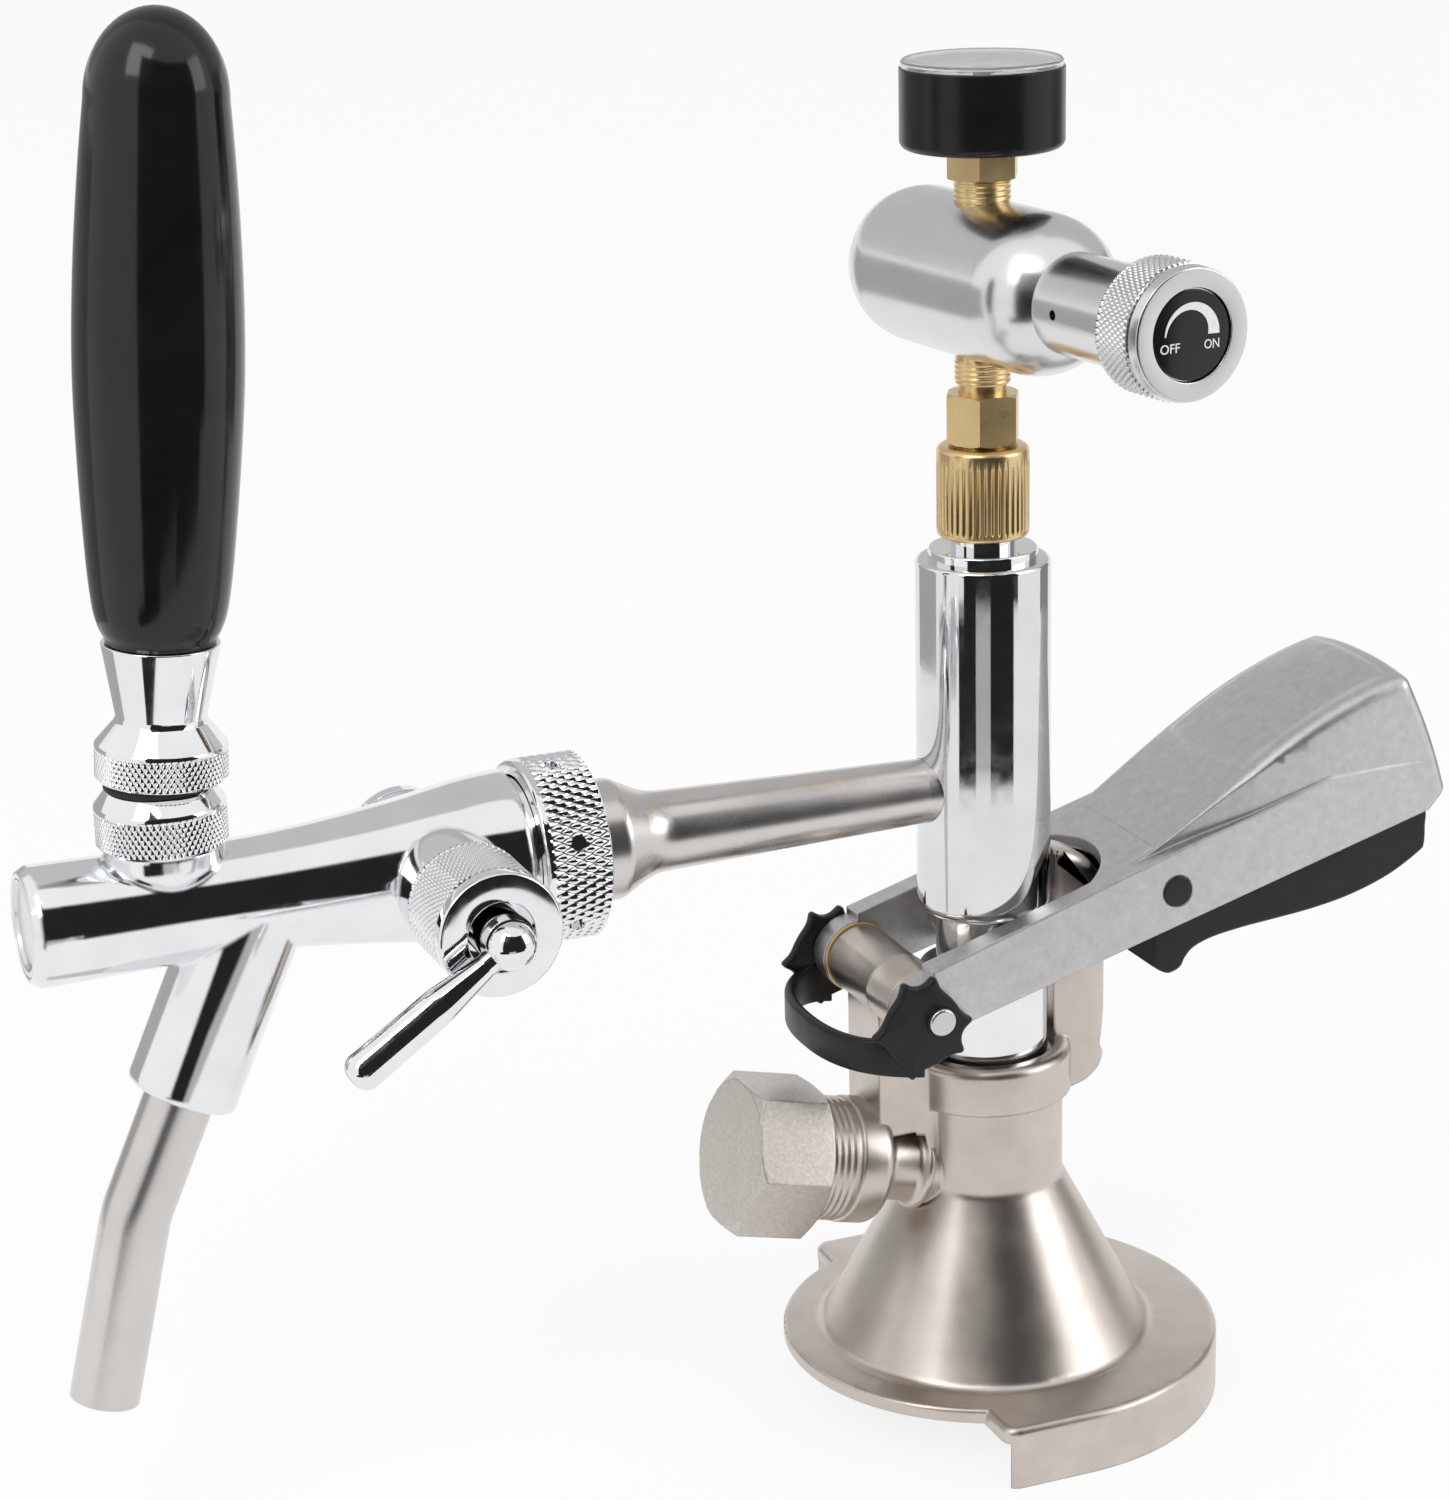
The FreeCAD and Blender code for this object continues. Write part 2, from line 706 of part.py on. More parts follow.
def arm_low(x):
    """Height of the lever's lower edge."""
    return arm_low_z + arm_slope * (x - arm_low_x)


def arm_high(x):
    """Height of the arm's upper edge."""
    return arm_top_z + arm_top_slope * (x - arm_top_x)


def head_crest():
    """Top line of the head, from the neck to the crest."""
    curve = Part.BSplineCurve()
    line = ((head_neck_x, arm_high(head_neck_x)),) + head_line + ((head_crest_x, head_crest_z),)
    curve.interpolate([V(x, -head_half, z) for x, z in line])
    return curve


def head_block(inset, half):
    """The head's side form, drawn across; inset shrinks its top and end for the hollow."""
    corners = [V(head_crest_x, -head_half, head_crest_z), V(head_tip_x, -head_half, head_tip_z),
               V(head_heel_x, -head_half, head_heel_z), V(head_neck_x, -head_half, arm_low(head_neck_x)),
               V(head_neck_x, -head_half, arm_high(head_neck_x))]
    edges = [head_crest().toShape()]
    for start, end in zip(corners, corners[1:]):
        edges.append(Part.LineSegment(start, end).toShape())
    face = Part.Face(Part.Wire(edges))
    block = face.extrude(V(0, 2 * head_half, 0))
    if inset:
        block.translate(V(-inset * 0.55, 0, -inset))
        return block.common(box((0, -half, 0), (head_tip_x, half, beyond)))
    return block


def lever_casting():
    head = head_block(0, head_half)
    side = [edge for edge in head.Edges
            if edge.BoundBox.YLength < 0.01 and edge.BoundBox.ZMax > head_crest_z - 0.01]
    across = [edge for edge in head.Edges
              if edge.BoundBox.YLength > head_half and edge.BoundBox.ZMin > head_crest_z - 1]
    head = head.makeFillet(head_edge_r, side + across)
    wide = head_half + slide_gap
    flank = shoulder_line + ((shoulder_x, wide), (beyond, wide))
    shoulder = plan([(x, -y) for x, y in flank] + [(x, y) for x, y in reversed(flank)], 0, beyond)
    above_arm = plate([(0, arm_high(0)), (beyond, arm_high(beyond)), (0, beyond)], -beyond, beyond)
    head = head.cut(above_arm.cut(shoulder))
    hollow = head_block(head_wall, arm_inner_y)
    arm_end_x = head_heel_x - 1
    arm = plate([(pivot_x, arm_low(pivot_x)), (arm_end_x, arm_low(arm_end_x)),
                 (arm_end_x, arm_high(shoulder_x)),
                 (shoulder_x, arm_high(shoulder_x)), (pivot_x, arm_high(pivot_x))], arm_inner_y, arm_outer_y)
    arm = arm.fuse(rod(arm_eye_r, pivot + V(0, arm_inner_y, 0), pivot + V(0, arm_outer_y, 0)))
    taper = plan([(-beyond, 0), (-beyond, arm_outer_y), (pivot_x, arm_outer_y), (head_heel_x, head_half),
                  (head_heel_x, 0)], 0, beyond)
    arm = arm.common(taper)
    lever = head.fuse([arm, mirror_y(arm)])
    arch = rod(arch_r, V(arch_x, 0, 0), V(arch_x, 0, beyond)).common(box((0, -arm_inner_y, 0),
                                                                         (beyond, arm_inner_y, beyond)))
    slot_front = box((0, -arm_inner_y, 0), (head_neck_x + 1.5, arm_inner_y, arm_high(head_neck_x) - 6))
    eye = rod(pin_r + bush_wall + fit_gap, pivot - V(0, beyond, 0), pivot + V(0, beyond, 0))
    trigger_hole = rod(trigger_pin_r + fit_gap, V(trigger_pin_x, -beyond, trigger_pin_z),
                       V(trigger_pin_x, beyond, trigger_pin_z))
    axle_end = arm_inner_y + 3
    axle_hole = rod(roller_axle_r + fit_gap, V(0, -axle_end, roller_z), V(0, axle_end, roller_z))
    return lever.cut([hollow, arch, slot_front, eye, trigger_hole, axle_hole]).removeSplitter()


def pivot_bushes():
    low = arm_inner_y - bush_flange_t
    bore = pin_r + fit_gap
    sleeve = bore + bush_wall - fit_gap
    bush = turned([(bore, low), (bush_flange_r, low, 0.3), (bush_flange_r, arm_inner_y),
                   (sleeve, arm_inner_y),
                   (sleeve, arm_outer_y - 0.5), (bore, arm_outer_y - 0.5)], pivot, V(0, 1, 0))
    return Part.makeCompound([bush, mirror_y(bush)])


def drive_rollers():
    low = spool_r + free_gap + 0.1
    high = arm_inner_y - fit_gap
    roller = turned([(0, low), (roller_r, low, 0.5), (roller_r, high), (roller_axle_r, high),
                     (roller_axle_r, arm_inner_y + 3), (0, arm_inner_y + 3)], V(0, 0, roller_z), V(0, 1, 0))
    return Part.makeCompound([roller, mirror_y(roller)])


def trigger_pin():
    end = arm_outer_y - 0.7
    return turned([(0, -end), (trigger_pin_r, -end, 0.4), (trigger_pin_r, end, 0.4), (0, end)],
                  V(trigger_pin_x, 0, trigger_pin_z), V(0, 1, 0))


def trigger():
    grip = plate(trigger_line, -trigger_half, trigger_half)
    slot = rod(trigger_slot_reach, pivot - V(0, trigger_slot_half, 0), pivot + V(0, trigger_slot_half, 0))
    pocket = box((trigger_pin_x - 7.2, -trigger_pocket_half, trigger_pin_z - 5.5),
                 (trigger_pin_x + 6.3, trigger_pocket_half, beyond))
    hole = rod(trigger_pin_r + slide_gap, V(trigger_pin_x, -beyond, trigger_pin_z),
               V(trigger_pin_x, beyond, trigger_pin_z))
    return grip.cut([slot, pocket, hole])


def trigger_spring():
    radius = trigger_pin_r + fit_gap + spring_wire_r
    half = trigger_pocket_half - 1.5
    turns = placed(coil(radius, spring_wire_r, spring_turns, 2 * half),
                   V(trigger_pin_x, half, trigger_pin_z), V(0, -1, 0))
    side = V(trigger_pin_x + radius, 0, trigger_pin_z)
    leg_up = rod(spring_wire_r, side + V(0, -half, -0.2), side + V(0, -half, 6))
    leg_down = rod(spring_wire_r, side + V(0, half, 0.2), side + V(0, half, -4.6))
    return turns.fuse([leg_up, leg_down])


def probe_body():
    shell = turned([(probe_bore_r, probe_tip_z), (probe_tip_r, probe_tip_z),
                    (probe_tip_r, probe_tip_z + tip_seal_t - 0.6),
                    (probe_tube_r, probe_tip_z + tip_seal_t - 0.6), (probe_tube_r, piston_low_z - 2),
                    (piston_r, piston_low_z), (piston_r, spool_low_z, 0.6), (spool_r, spool_low_z),
                    (spool_r, socket_top_z), (probe_bore_r, socket_top_z)])
    grooves = []
    for z in ring_z:
        low = z - ring_wire_r - fit_gap
        high = z + ring_wire_r + fit_gap
        depth = piston_r - 2 * ring_wire_r
        grooves.append(turned([(depth, low), (piston_r + 1, low), (piston_r + 1, high), (depth, high)]))
    port = rod(gas_tube_r + fit_gap, V(0, 0, gas_port_z), V(probe_tube_r + 1, 0, gas_port_z))
    return shell.cut(grooves + [port])


def probe_tip_seal():
    low = probe_tip_z - 0.6
    high = probe_tip_z + tip_seal_t - 0.6
    inner = probe_tip_r + fit_gap
    return turned([(inner, low, 0.5), (tip_seal_r, low, 0.9), (tip_seal_r, high, 0.5), (inner, high)])


def probe_rings():
    radius = piston_r - ring_wire_r + fit_gap / 2
    return Part.makeCompound([ring(radius, ring_wire_r, z) for z in ring_z])


def column_sleeve():
    sleeve = turned([(spool_r + fit_gap, column_low_z), (column_r, column_low_z, 2.6),
                     (column_r, column_high_z, 0.9),
                     (column_bore_r, column_high_z), (column_bore_r, socket_top_z),
                     (spool_r + fit_gap, socket_top_z)])
    return sleeve.cut(rod(shank_root_r + fit_gap, faucet_origin,
                          at(faucet_origin, faucet_axis, column_r + 2)))


def column_head():
    plug_low = column_high_z - head_plug_depth
    flange_high = column_high_z + head_flange_t
    neck_high = flange_high + head_neck_t
    return turned([(gas_tube_r + fit_gap, plug_low), (column_bore_r - fit_gap, plug_low),
                   (column_bore_r - fit_gap, column_high_z), (head_flange_r, column_high_z),
                   (head_flange_r, flange_high, 0.5), (head_neck_r, flange_high), (head_neck_r, neck_high),
                   (head_thread_r, neck_high), (head_thread_r, head_top_z, 0.4),
                   (gas_tube_bore_r, head_top_z),
                   (gas_tube_bore_r, column_high_z), (gas_tube_r + fit_gap, column_high_z)])


def gas_tube():
    elbow_z = gas_port_z + gas_bend_r
    bend = V(gas_bend_r * (1 - math.sqrt(0.5)), 0, gas_port_z + gas_bend_r * (1 - math.sqrt(0.5)))
    path = Part.Wire([Part.LineSegment(V(0, 0, column_high_z - fit_gap), V(0, 0, elbow_z)).toShape(),
                      Part.Arc(V(0, 0, elbow_z), bend, V(gas_bend_r, 0, gas_port_z)).toShape(),
                      Part.LineSegment(V(gas_bend_r, 0, gas_port_z),
                                       V(probe_tube_r, 0, gas_port_z)).toShape()])
    tubes = []
    for radius in (gas_tube_r, gas_tube_bore_r):
        section = Part.Wire(Part.makeCircle(radius, V(0, 0, column_high_z - fit_gap), UP))
        tubes.append(path.makePipeShell([section], True, True))
    return tubes[0].cut(tubes[1])


def head_washer():
    return turned([(gas_way_r + 0.5, head_top_z), (tail_flange_r, head_top_z), (tail_flange_r, washer_top_z),
                   (gas_way_r + 0.5, washer_top_z)])


def shank():
    return turned([(shank_bore_r, column_bore_r + 0.3), (shank_root_r, column_bore_r + 0.3),
                   (shank_root_r, column_r + 1),
                   (shank_end_r, shank_taper_u, 12), (shank_flare_r, shank_flare_u, 3),
                   (shank_flare_r, shank_flange_u),
                   (shank_flange_r, shank_flange_u), (shank_flange_r, shank_face_u),
                   (shank_bore_r, shank_face_u)],
                  faucet_origin, faucet_axis)


def shank_gasket():
    return turned([(shank_bore_r + 3, shank_face_u), (shank_flange_r - 0.3, shank_face_u),
                   (shank_flange_r - 0.3, faucet_rear_u), (shank_bore_r + 3, faucet_rear_u)], faucet_origin,
                  faucet_axis)


def coupling_collar():
    lip_bore = shank_flare_r + free_gap
    lip_u = collar_low_u + collar_lip
    collar = turned([(lip_bore, collar_low_u), (collar_r, collar_low_u, 1.0), (collar_r, collar_high_u, 0.5),
                     (collar_bore_r, collar_high_u), (collar_bore_r, lip_u), (lip_bore, lip_u)],
                    faucet_origin, faucet_axis)
    middle = at(faucet_origin, faucet_axis, (collar_low_u + collar_high_u) / 2)
    holes = []
    for i in range(6):
        angle = math.radians(60 * i + 40)
        out = V(0, math.cos(angle), math.sin(angle))
        holes.append(rod(collar_hole_r, at(middle, out, collar_r - 1.8), at(middle, out, collar_r + 2)))
    return collar.cut(holes)


def faucet_body():
    first_u, first_r = barrel_stations[0]
    rear = turned([(0, faucet_rear_u), (shank_flange_r, faucet_rear_u), (shank_flange_r, barrel_low_u),
                   (barrel_rim_r, barrel_low_u, 0.7), (first_r, first_u), (0, first_u)], faucet_origin,
                  faucet_axis)
    nose_r = barrel_stations[-1][1]
    nose = [(nose_r, barrel_end_u - 1.6), (nose_r - 1.0, barrel_end_u), (0, barrel_end_u),
            (0, barrel_stations[0][0])]
    barrel = spun_curve(barrel_stations, nose, faucet_origin, faucet_axis)
    bonnet_boss = turned([(0, faucet_z), (bonnet_boss_low_r, faucet_z), (bonnet_boss_low_r, faucet_z + 5),
                          (bonnet_boss_r, bonnet_boss_z - 3.4, 2.5), (bonnet_boss_r, bonnet_boss_z),
                          (0, bonnet_boss_z)],
                         V(-tap_u, 0, 0))
    reach = branch_start.distanceToPoint(branch_end)
    branch = turned([(0, 0), (branch_r, 0), (branch_r, reach, 1.2), (0, reach)], branch_start, branch_axis)
    flow_boss = rod(flow_boss_r, flow_origin, at(flow_origin, flow_axis, flow_boss_y))
    plug_boss = rod(plug_boss_r, flow_origin, at(flow_origin, flow_axis, -plug_boss_y))
    body = rear.fuse([barrel, bonnet_boss, branch, flow_boss, plug_boss])
    way = turned([(0, faucet_rear_u - 1), (rear_bore_r, faucet_rear_u - 1), (rear_bore_r, cone_back_u),
                  (rear_bore_end_r, rear_bore_u), (rear_bore_end_r, seat_u), (seat_hole_r, seat_u),
                  (seat_hole_r, seat_u + seat_t), (chamber_r, seat_u + seat_t),
                  (chamber_r, chamber_end_u - 2),
                  (guide_bore_r, chamber_end_u), (guide_bore_r, barrel_end_u - front_cap_t),
                  (front_cap_r + fit_gap, barrel_end_u - front_cap_t),
                  (front_cap_r + fit_gap, barrel_end_u + 1),
                  (0, barrel_end_u + 1)], faucet_origin, faucet_axis)
    branch_bore = rod(spout_bore_r, branch_start, branch_end)
    socket = rod(spout_r + fit_gap, at(branch_start, branch_axis, reach - branch_socket),
                 at(branch_start, branch_axis, reach + 1))
    spindle_way = rod(spindle_way_r, flow_origin, at(flow_origin, flow_axis, flow_boss_y))
    gland_way = rod(gland_screw_r, at(flow_origin, flow_axis, gland_ring_y - 0.1),
                    at(flow_origin, flow_axis, flow_boss_y + 1))
    plug_way = rod(plug_bore_r + fit_gap, at(flow_origin, flow_axis, -8),
                   at(flow_origin, flow_axis, -plug_boss_y - 1))
    slot = box((-tap_u - 4.5, -3.2, faucet_z), (-tap_u + 9, 3.2, bonnet_spigot_z + 1))
    bonnet_way = turned([(0, bonnet_spigot_z - 2.4), (5.4, bonnet_spigot_z - 2.4), (5.4, bonnet_spigot_z),
                         (bonnet_spigot_r + fit_gap, bonnet_spigot_z),
                         (bonnet_spigot_r + fit_gap, bonnet_boss_z + 1),
                         (0, bonnet_boss_z + 1)], V(-tap_u, 0, 0))
    return body.cut([way, branch_bore, socket, spindle_way, gland_way, plug_way, slot,
                     bonnet_way]).removeSplitter()


def front_cap():
    low = barrel_end_u - front_cap_t
    face = barrel_end_u - front_cap_recess
    return turned([(0, low + 0.5), (front_cap_r - 2.2, low + 0.5), (front_cap_r - 2.2, low + fit_gap),
                   (front_cap_r, low + fit_gap),
                   (front_cap_r, barrel_end_u, 0.3), (front_cap_r - 1.1, barrel_end_u, 0.3),
                   (front_cap_r - 1.5, face),
                   (0, face)], faucet_origin, faucet_axis)


def bonnet():
    ball_gap = tap_ball_r + free_gap
    shell = turned([(ball_gap, bonnet_spigot_z), (bonnet_spigot_r, bonnet_spigot_z),
                    (bonnet_spigot_r, bonnet_boss_z),
                    (bonnet_r - 0.6, bonnet_boss_z), (bonnet_r, bonnet_boss_z + 0.8),
                    (bonnet_r, bonnet_knurl_z, 0.8),
                    (bonnet_top_r, bonnet_top_z, 0.6), (7.9, bonnet_top_z), (5.0, bonnet_top_z - 5.5),
                    (5.0, tap_pivot_z + 2.5), (ball_gap, tap_pivot_z + 1.3)], V(-tap_u, 0, 0))
    stub_end = V(0, tap_stub_half + slide_gap, 0)
    return shell.cut(rod(tap_stub_r + slide_gap, tap_pivot - stub_end, tap_pivot + stub_end))


def bonnet_ring():
    high = bonnet_top_z + bonnet_ring_t
    return turned([(8.0, bonnet_top_z), (bonnet_top_r + 0.5, bonnet_top_z, 0.2),
                   (bonnet_top_r + 0.5, high, 0.4), (8.0, high, 0.4)],
                  V(-tap_u, 0, 0))


def tap_lever():
    ball = Part.makeSphere(tap_ball_r, tap_pivot)
    upper = rod(tap_rod_r, tap_pivot, at(tap_pivot, tap_axis, insert_top_t - 2))
    tail_length = tail_reach / math.cos(math.radians(tap_lean))
    tail = turned([(0, 0), (tap_rod_r - 0.4, 0), (tap_rod_r - 0.4, tail_length - 5.6),
                   (tap_tail_r, tail_length - 4.8),
                   (tap_tail_r, tail_length), (0, tail_length)], tap_pivot, tap_axis * -1)
    tail_ball = Part.makeSphere(tap_tail_ball_r, at(tap_pivot, tap_axis, -tail_length))
    stubs = rod(tap_stub_r, tap_pivot - V(0, tap_stub_half, 0), tap_pivot + V(0, tap_stub_half, 0))
    return ball.fuse([upper, tail, tail_ball, stubs])


def handle_ferrule():
    return turned([(tap_rod_r + fit_gap, ferrule_hollow_t), (ferrule_hollow_r, ferrule_hollow_t),
                   (ferrule_hollow_r, ferrule_low_t),
                   (ferrule_r - 0.5, ferrule_low_t), (ferrule_r, ferrule_low_t + 0.6),
                   (ferrule_r, ferrule_skirt_t, 1.8),
                   (ferrule_waist_r, ferrule_waist_t, 1.6), (ferrule_top_r, ferrule_top_t),
                   (tap_rod_r + fit_gap, ferrule_top_t)],
                  tap_pivot, tap_axis)


def handle_insert():
    return turned([(tap_rod_r + fit_gap, ferrule_top_t), (insert_r, ferrule_top_t), (insert_r, insert_top_t),
                   (0, insert_top_t),
                   (0, insert_top_t - 1.2), (tap_rod_r + fit_gap, insert_top_t - 1.2)], tap_pivot, tap_axis)


def handle_grip():
    side = Part.BSplineCurve()
    stations = ((ferrule_top_t + 0.8, grip_foot_r + 0.3),) + grip_stations + ((grip_dome_t, grip_dome_r),)
    side.interpolate([V(radius, 0, height) for height, radius in stations])
    shoulder = V(grip_dome_r - 4.9, 0, grip_top_t - 2.9)
    dome = Part.BSplineCurve()
    dome.interpolate([V(grip_dome_r, 0, grip_dome_t), V(grip_dome_r - 1.5, 0, grip_dome_t + 8.3), shoulder,
                      V(0, 0, grip_top_t)],
                     InitialTangent=side.tangent(side.LastParameter)[0], FinalTangent=V(-1, 0, 0))
    hole_r = insert_r + fit_gap
    corners = [V(0, 0, grip_top_t), V(0, 0, insert_top_t + fit_gap), V(hole_r, 0, insert_top_t + fit_gap),
               V(hole_r, 0, ferrule_top_t), V(grip_foot_r, 0, ferrule_top_t),
               V(grip_foot_r + 0.3, 0, ferrule_top_t + 0.8)]
    edges = [side.toShape(), dome.toShape()]
    for start, end in zip(corners, corners[1:]):
        edges.append(Part.LineSegment(start, end).toShape())
    return spun(Part.Wire(edges), tap_pivot, tap_axis)


def spout_tube():
    start = at(branch_end, branch_axis, -branch_socket + 0.4)
    bend = branch_end + V(spout_first_x, 0, spout_first_z)
    end = bend + V(spout_last_x, 0, spout_last_z)
    leave = (bend - start).normalize()
    run = (end - bend).normalize()
    half_turn = leave.getAngle(run) / 2
    trim = spout_bend_r * math.tan(half_turn)
    first = bend - leave * trim
    last = bend + run * trim
    inward = (run - leave).normalize()
    middle = bend + inward * (spout_bend_r / math.cos(half_turn) - spout_bend_r)
    path = Part.Wire([Part.LineSegment(start, first).toShape(), Part.Arc(first, middle, last).toShape(),
                      Part.LineSegment(last, end).toShape()])
    tubes = []
    for radius in (spout_r, spout_bore_r):
        section = Part.Wire(Part.makeCircle(radius, start, leave))
        tubes.append(path.makePipeShell([section], True, True))
    return tubes[0].cut(tubes[1])


def valve_shaft():
    low = seat_u - valve_seal_t - 0.6
    guide_low = tail_u - valve_guide_half
    guide_high = tail_u + valve_guide_half
    shaft = turned([(0, low), (valve_tip_r, low), (valve_tip_r, seat_u - free_gap),
                    (valve_stem_r, seat_u - free_gap),
                    (valve_stem_r, guide_low),
                    (valve_guide_r, guide_low + 0.6), (valve_guide_r, guide_high - 0.6),
                    (valve_stem_r, guide_high),
                    (valve_stem_r, valve_tail_u), (0, valve_tail_u)], faucet_origin, faucet_axis)
    above = faucet_z + chamber_r
    eye = rod(valve_eye_r, V(-tail_u, 0, faucet_z - valve_stem_r - free_gap), V(-tail_u, 0, above))
    mouth = box((-tail_u - valve_guide_r, -valve_eye_r, faucet_z + valve_eye_gap),
                (-tail_u + valve_guide_r + 1, valve_eye_r, above))
    return shaft.cut([eye, mouth])


def valve_seal():
    high = seat_u - free_gap
    low = high - valve_seal_t
    bore = valve_tip_r + fit_gap
    return turned([(bore, low), (valve_seal_r - 1.4, low), (valve_seal_r, low + 1.6),
                   (valve_seal_r, high, 0.5),
                   (bore, high)], faucet_origin, faucet_axis)


def flow_gland():
    bore = spindle_r + free_gap
    screw = gland_screw_r - fit_gap
    low = flow_boss_y + fit_gap
    return turned([(bore, gland_screw_y), (screw, gland_screw_y), (screw, low), (gland_r - 1.2, low),
                   (gland_r, low + 1.6, 0.6),
                   (gland_r, gland_knurl_y), (gland_r - 0.4, gland_knurl_y + 0.3),
                   (gland_face_r, gland_knurl_y + 0.9, 0.4),
                   (gland_face_r, gland_face_y, 0.7), (gland_cup_r, gland_face_y, 0.3),
                   (gland_cup_r, gland_cup_y),
                   (bore, gland_cup_y)], flow_origin, flow_axis)


def gland_ring():
    inner = spindle_r + slide_gap
    outer = gland_screw_r - fit_gap
    high = gland_ring_y + gland_ring_t
    return turned([(inner, gland_ring_y, 0.4), (outer, gland_ring_y, 0.4), (outer, high, 0.4),
                   (inner, high, 0.4)],
                  flow_origin, flow_axis)


def flow_spindle():
    stem = turned([(0, spindle_low_y), (spindle_r, spindle_low_y, 0.4), (spindle_r, spindle_high_y),
                   (0, spindle_high_y)],
                  flow_origin, flow_axis)
    crank = flow_origin + V(0, 0, eccentric)
    return stem.fuse(rod(eccentric_r, at(crank, flow_axis, eccentric_end_y),
                         at(crank, flow_axis, spindle_low_y + 1)))


def flow_lever():
    neck = turned([(0, spindle_high_y), (flow_neck_r, spindle_high_y, 0.4), (flow_neck_r, flow_dome_y - 1.6),
                   (flow_neck_r - 0.4, flow_dome_y), (0, flow_dome_y)], flow_origin, flow_axis)
    centre = at(flow_origin, flow_axis, flow_dome_y)
    dome = Part.makeSphere(flow_neck_r - 0.4, centre)
    angle = math.radians(flow_arm_angle)
    arm_axis = V(-math.cos(angle), 0, -math.sin(angle))
    length = flow_arm_length
    arm = turned([(0, 2), (flow_arm_root_r, 2), (flow_arm_root_r, 5.5), (flow_arm_r - 0.2, length * 0.45, 20),
                  (flow_arm_r, length, flow_arm_r - 0.7), (0, length)], centre, arm_axis)
    return neck.fuse([dome, arm])


def spindle_plug():
    low = plug_boss_y - plug_depth
    return turned([(0, low), (plug_bore_r, low), (plug_bore_r, plug_boss_y), (plug_r, plug_boss_y, 0.3),
                   (plug_r, plug_end_y, 1.8), (0, plug_end_y)], flow_origin, flow_axis * -1)


def compensator_cone():
    cone = turned([(0, cone_back_u), (cone_back_r, cone_back_u, 0.6), (cone_front_r, cone_front_u, 1.2),
                   (0, cone_front_u)],
                  faucet_origin, faucet_axis)
    flutes = []
    for i in range(4):
        angle = math.radians(45 + 90 * i)
        out = V(0, math.cos(angle), math.sin(angle))
        flutes.append(rod(1.5, at(at(faucet_origin, faucet_axis, cone_back_u - 1), out, cone_back_r),
                          at(at(faucet_origin, faucet_axis, cone_front_u + 1), out, cone_front_r)))
    half = eccentric_r + 0.45
    slot = box((-flow_u - half, -spindle_low_y - 2, faucet_z - 1.4),
               (-flow_u + half, -eccentric_end_y + 0.9, faucet_z + 4.7))
    return cone.cut(flutes + [slot])


def union_nut():
    bore = head_thread_r + free_gap
    hole = tail_r + free_gap
    return turned([(bore, nut_low_z), (nut_r, nut_low_z, 0.9), (nut_r, nut_high_z, 0.9), (hole, nut_high_z),
                   (hole, nut_shoulder_z), (bore, nut_shoulder_z)])


def union_tail():
    flange_low = washer_top_z + fit_gap
    flange_high = flange_low + tail_flange_t
    stem = turned([(gas_way_r, flange_low), (tail_flange_r, flange_low), (tail_flange_r, flange_high),
                   (tail_r, flange_high),
                   (tail_r, tail_hex_low_z + 1), (tail_neck_r, tail_hex_high_z - 1),
                   (tail_neck_r, tail_thread_low_z),
                   (tail_thread_r, tail_thread_low_z + 0.5), (tail_thread_r, tail_top_z),
                   (gas_way_r, tail_top_z)])
    bar = hexagon(tail_hex_flats, tail_hex_high_z - tail_hex_low_z, V(0, 0, tail_hex_low_z), UP, 0.8)
    way = rod(gas_way_r, V(0, 0, tail_hex_low_z - 1), V(0, 0, tail_hex_high_z + 1))
    return stem.fuse(bar).cut(way)


